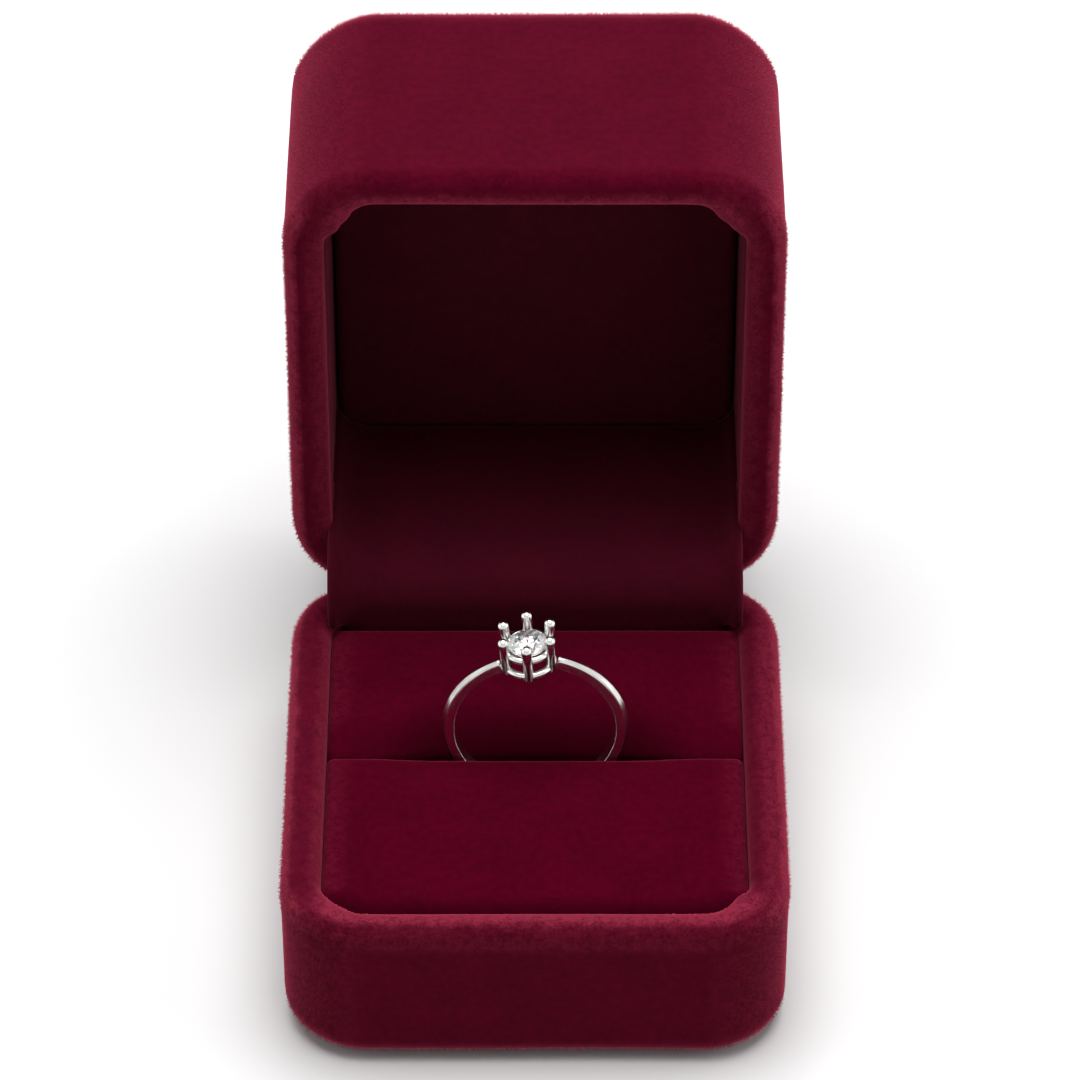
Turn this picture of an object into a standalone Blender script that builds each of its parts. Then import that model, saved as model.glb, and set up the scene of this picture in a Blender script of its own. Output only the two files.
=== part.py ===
"""Velvet ring box with a snap hinge, holding a six-claw solitaire ring.

Units are metres, +Z is up and +Y points away from the viewer. The origin is the middle of the
underside. The box stands open. The lid's pieces are built closed, about an empty on the hinge
axis, and the empty is then turned to the open angle.
"""

import math

import bmesh
import bpy
from mathutils import Matrix, Vector

MM = 0.001

# Box, outside
BOX_WIDTH = 51.0 * MM
BOX_DEPTH = 54.0 * MM
BASE_HEIGHT = 18.2 * MM
LID_HEIGHT = 31.9 * MM
CORNER_RADIUS = 8.6 * MM
EDGE_RADIUS = 3.8 * MM
RIM_GAP = 0.3 * MM
LID_OPEN_DEG = 90.0

# Layers of the walls
VELVET = 0.8 * MM
CORE_WALL = 2.0 * MM
BASE_FLOOR = 2.6 * MM
LID_CEILING = 1.8 * MM
LAYER_GAP = 0.2 * MM
FIT_GAP = 0.3 * MM
BASE_TURN_IN = 9.0 * MM
LID_TURN_IN = 8.0 * MM
TURN_UNDER = 9.0 * MM
PATCH_THICKNESS = 0.6 * MM
PATCH_INSET = 5.0 * MM
PATCH_EDGE = 0.2 * MM

# Pads in the base
PAD_DROP = 1.8 * MM
PAD_CROWN = 0.35 * MM
PAD_EDGE_RADIUS = 1.0 * MM
CROWN_STEPS = ((0.3, 0.6), (0.6, 0.9), (0.85, 1.0))  # (share of the way in, share of the rise)
BOARD_THICKNESS = 1.2 * MM

# Padded panel in the lid
PANEL_CARD = 1.2 * MM
PANEL_FOAM = 5.0 * MM
PANEL_CROWN = 0.3 * MM
PANEL_EDGE_RADIUS = 0.9 * MM

# Hinge
HINGE_INSET = 1.0 * MM
HINGE_END_GAP = 1.9 * MM
KNUCKLE_LENGTH = 4.9 * MM
KNUCKLE_GAP = 0.2 * MM
BARREL_RADIUS = 1.25 * MM
PIN_RADIUS = 0.6 * MM
PIN_CLEARANCE = 0.12 * MM
LEAF_THICKNESS = 0.5 * MM
LEAF_HEIGHT = 7.0 * MM
LEAF_SEAT_GAP = 0.1 * MM
RIVET_RADIUS = 0.6 * MM
RIVET_HEAD_RADIUS = 1.1 * MM
RIVET_HEAD_HEIGHT = 0.45 * MM
RIVET_CROWN_SHARE = 0.6
RIVET_CLEARANCE = 0.15 * MM
RIVET_INSET = 5.0 * MM
RIVET_DROP = 4.4 * MM
SPRING_THICKNESS = 0.3 * MM
SPRING_WIDTH = 7.0 * MM
SPRING_LEG = 5.5 * MM
CURTAIN_THICKNESS = 0.7 * MM
CURTAIN_STANDOFF = 1.4 * MM
CURTAIN_DROP = 9.0 * MM

# Ring
RING_Y = 1.9 * MM
RING_RISE = 3.5 * MM
RING_ROLL_DEG = 4.0
SHANK_OUTER_RADIUS = 9.6 * MM
SHANK_THICKNESS = 1.3 * MM
SHANK_WIDTH = 1.8 * MM
SHOULDER_WIDTH = 1.1 * MM
SHANK_RIDGE = 0.35 * MM
SHANK_CREST_DROP = 0.09 * MM
SHANK_CREST_SHARE = 0.33
SHANK_EDGE = 0.2 * MM
SLIT_CLEARANCE = 0.3 * MM
HEAD_BOTTOM = 8.6 * MM
HEAD_TOP = 13.0 * MM
CLAW_PITCH_TOP = 2.76 * MM
CLAW_PITCH_BOTTOM = 2.46 * MM
CLAW_RADIUS = 0.52 * MM
CLAW_COUNT = 6
CLAW_FOOT_SHARE = 0.8
CLAW_TIP_SHARE = 0.2
RAIL_RADIUS = 0.36 * MM
UPPER_RAIL_HEIGHT = 10.75 * MM
STONE_RADIUS = 2.05 * MM
STONE_GIRDLE_HEIGHT = 11.2 * MM
STONE_GIRDLE = 0.1 * MM
STONE_CROWN = 0.72 * MM
STONE_PAVILION = 1.9 * MM
STONE_TABLE_RADIUS = 1.15 * MM
STONE_STAR_OUT = 0.45
STONE_STAR_UP = 0.66
STONE_LOWER_OUT = 0.24
STONE_LOWER_DOWN = 0.8
STONE_MAIN_FACETS = 8
STONE_SEAT_GAP = 0.15 * MM

# Facets
CORNER_STEPS = 6
RIM_STEPS = 8
EDGE_STEPS = 4
BEND_STEPS = 10
ROUND_SIDES = 16
SHANK_STEPS = 48
RAIL_SIDES = 8
CLAW_SIDES = 10
SHARP_DEG = 35.0
LEAST_RADIUS = 0.4 * MM
CUT_MARGIN = 1.0 * MM

# Places that follow from the sizes
LAYER = VELVET + LAYER_GAP
CORE_INNER = LAYER + CORE_WALL
WALL = CORE_INNER + LAYER
RIM_RADIUS = WALL / 2
COVER_BOTTOM = PATCH_THICKNESS + LAYER_GAP
CORE_BOTTOM = COVER_BOTTOM + LAYER
FLOOR_TOP = CORE_BOTTOM + BASE_FLOOR
LID_RIM = BASE_HEIGHT + RIM_GAP
LID_TOP = LID_RIM + LID_HEIGHT
CORE_TOP = LID_TOP - LAYER
CEILING = CORE_TOP - LID_CEILING
HINGE_LENGTH = BOX_WIDTH - 2 * (CORNER_RADIUS + HINGE_END_GAP)
HINGE_AXIS = Vector((0.0, BOX_DEPTH / 2 - HINGE_INSET, BASE_HEIGHT + RIM_GAP / 2))
CORE_FACE = BOX_DEPTH / 2 - CORE_INNER - HINGE_AXIS.y
CURTAIN_RADIUS = HINGE_AXIS.y - (BOX_DEPTH / 2 - WALL) + CURTAIN_STANDOFF
PAD_TOP = BASE_HEIGHT - PAD_DROP
PAD_INSET = WALL + FIT_GAP
PAD_FRONT_Y = -BOX_DEPTH / 2 + PAD_INSET
PAD_REAR_Y = HINGE_AXIS.y - CURTAIN_RADIUS - CURTAIN_THICKNESS - FIT_GAP
RING_Z = PAD_TOP + RING_RISE
SLIT_HALF = SHANK_WIDTH / 2 + SLIT_CLEARANCE
SLIT_FLOOR = RING_Z - SHANK_OUTER_RADIUS - FIT_GAP
BOARD_BOTTOM = FLOOR_TOP + LAYER_GAP
FOAM_BOTTOM = BOARD_BOTTOM + BOARD_THICKNESS + LAYER_GAP
CARD_TOP = CEILING - LAYER_GAP
PANEL_FOAM_TOP = CARD_TOP - PANEL_CARD - LAYER_GAP
PANEL_FACE = PANEL_FOAM_TOP - PANEL_FOAM - LAYER
SHANK_INNER_RADIUS = SHANK_OUTER_RADIUS - SHANK_THICKNESS
LOWER_RAIL_HEIGHT = HEAD_BOTTOM + RAIL_RADIUS


def clear_scene():
    """Removes everything that a new file holds."""
    for old in list(bpy.data.objects):
        bpy.data.objects.remove(old)


def finish(name, colour, roughness, metallic=0.0):
    """Makes a Principled material."""
    material = bpy.data.materials.new(name)
    material.use_nodes = True
    shader = material.node_tree.nodes["Principled BSDF"]
    shader.inputs["Base Color"].default_value = (*colour, 1.0)
    shader.inputs["Roughness"].default_value = roughness
    shader.inputs["Metallic"].default_value = metallic
    return material


def velvet(name):
    """Deep red pile."""
    return finish(name, (0.16, 0.004, 0.022), 0.95)


def plastic(name):
    """Dark moulded plastic under the velvet."""
    return finish(name, (0.03, 0.012, 0.014), 0.5)


def card(name):
    """Grey board."""
    return finish(name, (0.38, 0.35, 0.31), 0.9)


def foam(name):
    """Dark red foam."""
    return finish(name, (0.10, 0.02, 0.03), 1.0)


def steel(name):
    """Nickelled steel of the hinge."""
    return finish(name, (0.62, 0.60, 0.57), 0.3, 1.0)


def white_metal(name):
    """Polished metal of the ring."""
    return finish(name, (0.82, 0.82, 0.82), 0.08, 1.0)


def add_object(name, bm, material=None, origin=(0, 0, 0), parent=None):
    """Turns a bmesh into an object whose origin lies at origin, and hangs it on parent."""
    bmesh.ops.recalc_face_normals(bm, faces=bm.faces[:])
    bmesh.ops.translate(bm, vec=-Vector(origin), verts=bm.verts[:])
    mesh = bpy.data.meshes.new(name)
    bm.to_mesh(mesh)
    bm.free()
    mesh.shade_smooth()
    mesh.set_sharp_from_angle(angle=math.radians(SHARP_DEG))
    if material:
        mesh.materials.append(material)
    made = bpy.data.objects.new(name, mesh)
    bpy.context.collection.objects.link(made)
    if parent:
        made.parent = parent
    else:
        made.location = origin
    return made


def empty(name, location, rotation=(0, 0, 0)):
    """Adds an empty, which carries the pieces that move together."""
    made = bpy.data.objects.new(name, None)
    made.location = location
    made.rotation_euler = rotation
    bpy.context.collection.objects.link(made)
    return made


def loft(sections, closed=False):
    """Joins rings of points in turn with quads, and closes the row on itself or caps its ends."""
    bm = bmesh.new()
    rings = [[bm.verts.new(point) for point in section] for section in sections]
    following = rings[1:] + rings[:1] if closed else rings[1:]
    for ring, next_ring in zip(rings, following):
        sides = zip(ring, ring[1:] + ring[:1], next_ring[1:] + next_ring[:1], next_ring)
        for corners in sides:
            bm.faces.new(corners)
    if not closed:
        bm.faces.new(rings[0])
        bm.faces.new(rings[-1])
    return bm


def arc(centre, radius, start_deg, end_deg, steps):
    """Points of a plane arc, both ends included."""
    span = math.radians(end_deg - start_deg)
    angles = [math.radians(start_deg) + span * step / steps for step in range(steps + 1)]
    return [(centre[0] + radius * math.cos(a), centre[1] + radius * math.sin(a)) for a in angles]


def plan(inset):
    """The box's rounded outline in plan, drawn in by inset."""
    half_x = BOX_WIDTH / 2 - inset
    half_y = BOX_DEPTH / 2 - inset
    radius = max(CORNER_RADIUS - inset, LEAST_RADIUS)
    corners = ((1, 1, 0), (-1, 1, 90), (-1, -1, 180), (1, -1, 270))
    points = []
    for side, end, start in corners:
        centre = (side * (half_x - radius), end * (half_y - radius))
        points += arc(centre, radius, start, start + 90, CORNER_STEPS)
    return points


def ring_at(inset, z):
    """The box's outline as a ring at one height."""
    return [(x, y, z) for x, y in plan(inset)]


def clear_half_width(y, inset):
    """Half the free width at y inside the outline drawn in by inset."""
    radius = max(CORNER_RADIUS - inset, LEAST_RADIUS)
    into_corner = max(abs(y) - (BOX_DEPTH / 2 - inset - radius), 0.0)
    return BOX_WIDTH / 2 - inset - radius + math.sqrt(radius**2 - min(into_corner, radius) ** 2)


def block(low, high):
    """A box between two corners."""
    bm = bmesh.new()
    low, high = Vector(low), Vector(high)
    place = Matrix.Translation((low + high) / 2) @ Matrix.Diagonal((*(high - low), 1.0))
    bmesh.ops.create_cube(bm, size=1.0, matrix=place)
    return bm


def turned(profile, axis="Z", sides=ROUND_SIDES):
    """A solid turned from (radius, height) pairs about an axis through the origin."""
    sections = []
    for radius, height in profile:
        circle = [(radius * math.cos(t), radius * math.sin(t), height) for t in turns(sides)]
        sections.append(circle)
    bm = loft(sections)
    if axis == "X":
        bmesh.ops.rotate(bm, matrix=Matrix.Rotation(math.pi / 2, 3, "Y"), verts=bm.verts[:])
    if axis == "Y":
        bmesh.ops.rotate(bm, matrix=Matrix.Rotation(-math.pi / 2, 3, "X"), verts=bm.verts[:])
    return bm


def turns(count):
    """Evenly spaced angles round a full turn."""
    return [2 * math.pi * step / count for step in range(count)]


def boolean(target, tool, operation):
    """Adds an exact Boolean modifier and hides its tool."""
    tool.hide_render = True
    tool.display_type = "WIRE"
    modifier = target.modifiers.new(tool.name, "BOOLEAN")
    modifier.operation = operation
    modifier.solver = "EXACT"
    modifier.object = tool


def cut(target, name, bm, parent=None):
    """Cuts a shape, given in parent's own space, out of target."""
    boolean(target, add_object(name, bm, parent=parent), "DIFFERENCE")


def join(target, name, bm, parent=None):
    """Joins a shape, given in parent's own space, to target."""
    boolean(target, add_object(name, bm, parent=parent), "UNION")


def cover_section(closed_end, rim, turn_in):
    """Section of a velvet skin as (inset, z): round the closed end, along the wall, over the rim, back.

    The skin of the base has its closed end below its rim, and the skin of the lid above.
    """
    up = 1 if rim > closed_end else -1
    bend = closed_end + up * EDGE_RADIUS
    crest = rim - up * RIM_RADIUS

    def bottom_bend(radius):
        return [(EDGE_RADIUS + x, bend + up * z) for x, z in arc((0, 0), radius, 270, 180, EDGE_STEPS)]

    def rim_roll(radius):
        return [(RIM_RADIUS + x, crest + up * z) for x, z in arc((0, 0), radius, 180, 0, RIM_STEPS)]

    end = rim - up * turn_in
    outer = bottom_bend(EDGE_RADIUS) + rim_roll(RIM_RADIUS) + [(WALL, end)]
    inner = [(WALL - VELVET, end)] + rim_roll(RIM_RADIUS - VELVET)[::-1]
    return outer + inner + bottom_bend(EDGE_RADIUS - VELVET)[::-1]


def core_section(closed_end, rim, floor):
    """Section of a moulded tray as (inset, z): round the closed end, wall, rim, then its floor."""
    up = 1 if rim > closed_end else -1
    radius = EDGE_RADIUS - LAYER
    bend = closed_end + up * radius
    crest = rim - up * CORE_WALL / 2
    middle = LAYER + CORE_WALL / 2
    outer = [(LAYER + radius + x, bend + up * z) for x, z in arc((0, 0), radius, 270, 180, EDGE_STEPS)]
    roll = [(middle + x, crest + up * z) for x, z in arc((0, 0), CORE_WALL / 2, 180, 0, EDGE_STEPS)]
    inner = [(CORE_INNER, closed_end + up * floor)]
    return outer + roll + inner


def swept(section):
    """Carries a closed (inset, z) section round the box's outline."""
    return loft([ring_at(inset, z) for inset, z in section], closed=True)


def tray(section):
    """Carries an open (inset, z) section round the box's outline and caps both ends."""
    return loft([ring_at(inset, z) for inset, z in section])


def pad_ring(inset, z, front_y, rear_y):
    """Outline of a pad that fills the walls between two straight edges, drawn in by inset."""
    low, high = front_y + inset, rear_y - inset
    return [(x, min(max(y, low), high), z) for x, y in plan(PAD_INSET + inset)]


def pad_cap(front_y, rear_y, skirt, face, edge_radius, crown):
    """A velvet cap with a skirt, rolled edges and a crowned face. It faces away from its skirt."""
    up = 1 if face > skirt else -1
    edge = face - up * edge_radius
    half = (rear_y - front_y) / 2
    roll = [(edge_radius - x, edge + up * z) for x, z in arc((0, 0), edge_radius, 0, 90, EDGE_STEPS)]
    rise = [(edge_radius + (half - edge_radius) * share, face + up * crown * lift)
            for share, lift in CROWN_STEPS]
    section = [(VELVET, face - up * VELVET), (VELVET, skirt), (0.0, skirt)] + roll + rise
    return loft([pad_ring(inset, z, front_y, rear_y) for inset, z in section])


def pad_block(front_y, rear_y, inset, low, high):
    """A straight block with a pad's outline."""
    return loft([pad_ring(inset, z, front_y, rear_y) for z in (low, high)])


def bent_strip(radius, thickness, width, base_leg, lid_leg):
    """A strip that runs up the base, round the hinge axis and along the open lid, about that axis."""
    base_side = 180
    lid_side = base_side - LID_OPEN_DEG
    turn = math.radians(lid_side)
    along_lid = Vector((math.sin(turn), -math.cos(turn)))

    def side(reach):
        bend = arc((0, 0), reach, base_side, lid_side, BEND_STEPS)
        far = Vector(bend[-1]) + along_lid * lid_leg
        return [(-reach, -base_leg)] + bend + [tuple(far)]

    section = side(radius + thickness) + side(radius)[::-1]
    return loft([[(x, y, z) for y, z in section] for x in (-width / 2, width / 2)])


def build_base():
    """The base's core, velvet skin and bottom patch."""
    section = core_section(CORE_BOTTOM, BASE_HEIGHT - LAYER, BASE_FLOOR)
    core = add_object("base_core", tray(section), plastic("base_core_plastic"))
    hem = [(TURN_UNDER, COVER_BOTTOM + VELVET), (TURN_UNDER, COVER_BOTTOM)]
    skin = swept(cover_section(COVER_BOTTOM, BASE_HEIGHT, BASE_TURN_IN) + hem)
    cover = add_object("base_cover", skin, velvet("base_cover_velvet"))
    patch = [(PATCH_INSET + PATCH_EDGE, 0.0), (PATCH_INSET, PATCH_EDGE), (PATCH_INSET, PATCH_THICKNESS)]
    add_object("bottom_patch", tray(patch), velvet("bottom_patch_velvet"))
    return core, cover


def build_pads():
    """The board, the foam with its slit, and the two velvet caps."""
    board_inset = CORE_INNER + FIT_GAP
    board = tray([(board_inset, BOARD_BOTTOM), (board_inset, BOARD_BOTTOM + BOARD_THICKNESS)])
    add_object("insert_board", board, card("insert_board_card"))
    halves = {
        "front_pad": (PAD_FRONT_Y, RING_Y - SLIT_HALF),
        "rear_pad": (RING_Y + SLIT_HALF, PAD_REAR_Y),
    }
    slab = pad_block(PAD_FRONT_Y, PAD_REAR_Y, 0.0, FOAM_BOTTOM, SLIT_FLOOR)
    bed = add_object("pad_foam", slab, foam("pad_foam_foam"))
    root = SLIT_FLOOR - (SLIT_FLOOR - FOAM_BOTTOM) / 2
    for name, (front_y, rear_y) in halves.items():
        top = pad_block(front_y, rear_y, LAYER, root, PAD_TOP - LAYER)
        join(bed, name + "_foam_tool", top)
        cap = pad_cap(front_y, rear_y, SLIT_FLOOR + LAYER_GAP, PAD_TOP, PAD_EDGE_RADIUS, PAD_CROWN)
        add_object(name + "_velvet", cap, velvet(name + "_velvet_pile"))


def build_lid(pivot):
    """The lid's core, velvet skin, wall lining and padded ceiling panel, built closed."""
    section = core_section(CORE_TOP, LID_RIM + LAYER, LID_CEILING)
    core = add_object("lid_core", tray(section), plastic("lid_core_plastic"), HINGE_AXIS, pivot)
    skin = tray(cover_section(LID_TOP, LID_RIM, LID_TURN_IN))
    cover = add_object("lid_cover", skin, velvet("lid_cover_velvet"), HINGE_AXIS, pivot)
    low = LID_RIM + LID_TURN_IN + LAYER_GAP
    high = CEILING - LAYER_GAP
    lining = [(WALL, low), (WALL, high), (WALL - VELVET, high), (WALL - VELVET, low)]
    add_object("lid_lining", swept(lining), velvet("lid_lining_velvet"), HINGE_AXIS, pivot)
    front_y, rear_y = PAD_FRONT_Y, -PAD_FRONT_Y
    board = pad_block(front_y, rear_y, LAYER, CARD_TOP - PANEL_CARD, CARD_TOP)
    add_object("lid_panel_card", board, card("lid_panel_card_board"), HINGE_AXIS, pivot)
    filling = pad_block(front_y, rear_y, LAYER, PANEL_FACE + LAYER, PANEL_FOAM_TOP)
    add_object("lid_panel_foam", filling, foam("lid_panel_foam_foam"), HINGE_AXIS, pivot)
    face = pad_cap(front_y, rear_y, CARD_TOP, PANEL_FACE, PANEL_EDGE_RADIUS, PANEL_CROWN)
    add_object("lid_panel_velvet", face, velvet("lid_panel_velvet_pile"), HINGE_AXIS, pivot)
    return core, cover


def knuckle(side, start, length):
    """A rolled knuckle with the tab that joins it to its leaf, about the hinge axis."""
    tab_top = BARREL_RADIUS - LEAF_THICKNESS
    meet = 180 + math.degrees(math.asin(tab_top / BARREL_RADIUS))
    tab_end = CORE_FACE + LEAF_THICKNESS / 2
    barrel = arc((0, 0), BARREL_RADIUS, -90, meet, ROUND_SIDES)
    section = [(tab_end, -BARREL_RADIUS)] + barrel + [(tab_end, -tab_top)]
    return loft([[(x, y, -side * z) for y, z in section] for x in (start, start + length)])


def rivet_places():
    """Where the rivets pass each leaf, along the hinge."""
    out = HINGE_LENGTH / 2 - RIVET_INSET
    return {"left": -out, "right": out}


def hinge_leaf(name, side, knuckle_starts, core, cover, carrier):
    """A leaf let into its core, with its knuckles, rivets and the cuts that it needs.

    side is -1 for the leaf that runs down the base and 1 for the leaf that runs up the lid.
    """
    half = HINGE_LENGTH / 2
    back = CORE_FACE + LEAF_THICKNESS

    def slab(x, y_low, y_high, near, far):
        low, high = sorted((side * near, side * far))
        return block((-x, y_low, low), (x, y_high, high))

    top = BARREL_RADIUS - LEAF_THICKNESS / 2
    plate = slab(half, CORE_FACE, back, top, LEAF_HEIGHT)
    leaf = add_object(name, plate, steel(name + "_steel"), parent=carrier)
    for index, start in enumerate(knuckle_starts):
        join(leaf, f"{name}_knuckle_{index}", knuckle(side, start, KNUCKLE_LENGTH), carrier)
    reach = half + CUT_MARGIN
    bore = PIN_RADIUS + PIN_CLEARANCE
    cut(leaf, name + "_bore", turned([(bore, -reach), (bore, reach)], "X"), carrier)

    window = half + FIT_GAP
    sill = BARREL_RADIUS + FIT_GAP
    inside = CORE_FACE - LAYER - CUT_MARGIN
    outside = HINGE_INSET + CUT_MARGIN
    notch = slab(window, inside, outside, sill, -sill - CUT_MARGIN)
    snug = half + LEAF_SEAT_GAP
    seat = slab(snug, CORE_FACE - CUT_MARGIN, back + LEAF_SEAT_GAP, LEAF_HEIGHT + LEAF_SEAT_GAP, 0)
    clear = window + LAYER_GAP
    trim = slab(clear, inside - CUT_MARGIN, CORE_FACE - LAYER_GAP / 2, LEAF_HEIGHT + FIT_GAP, 0)
    window_tool = add_object(name + "_window", notch, parent=carrier)
    boolean(core, window_tool, "DIFFERENCE")
    boolean(cover, window_tool, "DIFFERENCE")
    cut(core, name + "_seat", seat, carrier)
    cut(cover, name + "_trim", trim, carrier)

    for place, x in rivet_places().items():
        spot = Vector((x, 0.0, side * RIVET_DROP))
        hole_radius = RIVET_RADIUS + RIVET_CLEARANCE
        hole = turned([(hole_radius, CORE_FACE - CUT_MARGIN), (hole_radius, HINGE_INSET)], "Y")
        bmesh.ops.translate(hole, vec=spot, verts=hole.verts[:])
        hole_tool = add_object(f"{name}_hole_{place}", hole, parent=carrier)
        boolean(core, hole_tool, "DIFFERENCE")
        boolean(leaf, hole_tool, "DIFFERENCE")
        head = CORE_FACE - LEAF_SEAT_GAP
        shoulder = head - RIVET_HEAD_HEIGHT / 2
        crown = head - RIVET_HEAD_HEIGHT
        flush = BOX_DEPTH / 2 - LAYER - HINGE_AXIS.y - LEAF_SEAT_GAP
        profile = [(RIVET_HEAD_RADIUS * RIVET_CROWN_SHARE, crown), (RIVET_HEAD_RADIUS, shoulder),
                   (RIVET_HEAD_RADIUS, head), (RIVET_RADIUS, head), (RIVET_RADIUS, flush)]
        rivet = turned(profile, "Y")
        bmesh.ops.translate(rivet, vec=spot, verts=rivet.verts[:])
        rivet_name = name.replace("leaf", "rivet_") + place
        add_object(rivet_name, rivet, steel(rivet_name + "_steel"), parent=carrier)


def build_hinge(base, lid, axis, pivot):
    """Both leaves, the pin, the snap spring and the velvet curtain."""
    outer = -HINGE_LENGTH / 2
    inner = outer + KNUCKLE_LENGTH + KNUCKLE_GAP
    base_starts = (outer, -outer - KNUCKLE_LENGTH)
    lid_starts = (inner, -inner - KNUCKLE_LENGTH)
    hinge_leaf("hinge_base_leaf", -1, base_starts, *base, axis)
    hinge_leaf("hinge_lid_leaf", 1, lid_starts, *lid, pivot)
    half = HINGE_LENGTH / 2
    chamfer = PIN_RADIUS / 3
    ends = [(PIN_RADIUS - chamfer, -half), (PIN_RADIUS, -half + chamfer)]
    profile = ends + [(radius, -x) for radius, x in ends[::-1]]
    add_object("hinge_pin", turned(profile, "X"), steel("hinge_pin_steel"), parent=axis)

    spring_radius = LEAF_SEAT_GAP - CORE_FACE
    spring = bent_strip(spring_radius, SPRING_THICKNESS, SPRING_WIDTH, SPRING_LEG, SPRING_LEG)
    add_object("hinge_spring", spring, steel("hinge_spring_steel"), parent=axis)
    edge_y = HINGE_AXIS.y - CURTAIN_RADIUS
    width = 2 * (clear_half_width(edge_y, WALL) - LAYER_GAP)
    lid_leg = PANEL_FACE - PANEL_CROWN - FIT_GAP - HINGE_AXIS.z
    curtain = bent_strip(CURTAIN_RADIUS, CURTAIN_THICKNESS, width, CURTAIN_DROP, lid_leg)
    add_object("hinge_curtain", curtain, velvet("hinge_curtain_velvet"), parent=axis)


def shank_section(angle):
    """Section of the band at an angle from the top, narrowing and sharpening towards the head."""
    share = (1 + math.cos(angle)) / 2
    width = SHANK_WIDTH + (SHOULDER_WIDTH - SHANK_WIDTH) * share**3
    outward = Vector((math.sin(angle), 0.0, math.cos(angle)))
    half = width / 2
    soft = SHANK_EDGE
    ridge_foot = SHANK_OUTER_RADIUS - SHANK_RIDGE
    side = [(SHANK_INNER_RADIUS, half - soft), (SHANK_INNER_RADIUS + soft, half),
            (ridge_foot, half), (SHANK_OUTER_RADIUS - SHANK_CREST_DROP, half * SHANK_CREST_SHARE)]
    points = side + [(radius, -y) for radius, y in side[::-1]]
    return [outward * radius + Vector((0.0, y, 0.0)) for radius, y in points]


def build_ring(seat):
    """The band, the six-claw head and the stone, about the ring's centre."""
    head_radius = CLAW_PITCH_BOTTOM + RAIL_RADIUS + STONE_SEAT_GAP
    gap = math.asin(head_radius / (SHANK_INNER_RADIUS + SHANK_THICKNESS / 2))
    sweep = 2 * math.pi - 2 * gap
    angles = [gap + sweep * step / SHANK_STEPS for step in range(SHANK_STEPS + 1)]
    band = loft([shank_section(angle) for angle in angles])
    add_object("ring_shank", band, white_metal("ring_shank_metal"), parent=seat)

    head = add_object("ring_head", rail(LOWER_RAIL_HEIGHT), white_metal("ring_head_metal"), parent=seat)
    join(head, "ring_head_upper_rail", rail(UPPER_RAIL_HEIGHT), seat)
    for index in range(CLAW_COUNT):
        turn = math.radians(90) + 2 * math.pi * index / CLAW_COUNT
        join(head, f"ring_head_claw_{index}", claw(turn), seat)
    add_object("ring_stone", stone(), finish("ring_stone_crystal", (0.95, 0.96, 0.97), 0.02), parent=seat)


def claw_pitch(height):
    """Distance of a claw's axis from the head's axis at a height."""
    share = (height - HEAD_BOTTOM) / (HEAD_TOP - HEAD_BOTTOM)
    return CLAW_PITCH_BOTTOM + (CLAW_PITCH_TOP - CLAW_PITCH_BOTTOM) * share


def rail(height):
    """A gallery rail of round wire about the head's axis."""
    pitch = claw_pitch(height)
    circle = [(RAIL_RADIUS * math.cos(t), RAIL_RADIUS * math.sin(t)) for t in turns(RAIL_SIDES)]
    wire = [(pitch + x, height + z) for x, z in circle]
    sections = []
    for turn in turns(2 * ROUND_SIDES):
        sections.append([(radius * math.cos(turn), radius * math.sin(turn), z) for radius, z in wire])
    return loft(sections, closed=True)


def claw(turn):
    """A claw that leans out a little and ends in a round tip."""
    tip = HEAD_TOP - CLAW_RADIUS
    point = CLAW_RADIUS * CLAW_TIP_SHARE
    profile = [(CLAW_RADIUS * CLAW_FOOT_SHARE, HEAD_BOTTOM), (CLAW_RADIUS, HEAD_BOTTOM + CLAW_RADIUS)]
    profile += [(max(x, point), tip + z) for x, z in arc((0, 0), CLAW_RADIUS, 0, 90, EDGE_STEPS)]
    sections = []
    for radius, z in profile:
        pitch = claw_pitch(z)
        x, y = pitch * math.cos(turn), pitch * math.sin(turn)
        sections.append([(x + radius * math.cos(t), y + radius * math.sin(t), z) for t in turns(CLAW_SIDES)])
    return loft(sections)


def stone():
    """A round brilliant: the hull of its table, star, girdle, lower half and culet points."""
    half_facet = math.pi / STONE_MAIN_FACETS
    girdle = STONE_GIRDLE_HEIGHT + STONE_GIRDLE / 2
    keel = STONE_GIRDLE_HEIGHT - STONE_GIRDLE / 2
    star_radius = STONE_TABLE_RADIUS + (STONE_RADIUS - STONE_TABLE_RADIUS) * STONE_STAR_OUT
    lower = keel - STONE_PAVILION * STONE_LOWER_DOWN
    tiers = (
        (STONE_TABLE_RADIUS, girdle + STONE_CROWN, STONE_MAIN_FACETS, 0.0),
        (star_radius, girdle + STONE_CROWN * STONE_STAR_UP, STONE_MAIN_FACETS, half_facet),
        (STONE_RADIUS, girdle, 2 * STONE_MAIN_FACETS, 0.0),
        (STONE_RADIUS, keel, 2 * STONE_MAIN_FACETS, 0.0),
        (STONE_RADIUS * STONE_LOWER_OUT, lower, STONE_MAIN_FACETS, half_facet),
    )
    bm = bmesh.new()
    for radius, z, count, start in tiers:
        for turn in turns(count):
            bm.verts.new((radius * math.cos(turn + start), radius * math.sin(turn + start), z))
    bm.verts.new((0.0, 0.0, keel - STONE_PAVILION))
    bmesh.ops.convex_hull(bm, input=bm.verts[:])
    return bm


def main():
    """Builds the whole part."""
    clear_scene()
    axis = empty("hinge_axis", HINGE_AXIS)
    pivot = empty("lid_pivot", HINGE_AXIS, (-math.radians(LID_OPEN_DEG), 0, 0))
    seat = empty("ring_seat", (0, RING_Y, RING_Z), (0, -math.radians(RING_ROLL_DEG), 0))
    base = build_base()
    build_pads()
    lid = build_lid(pivot)
    build_hinge(base, lid, axis, pivot)
    build_ring(seat)


main()
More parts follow.
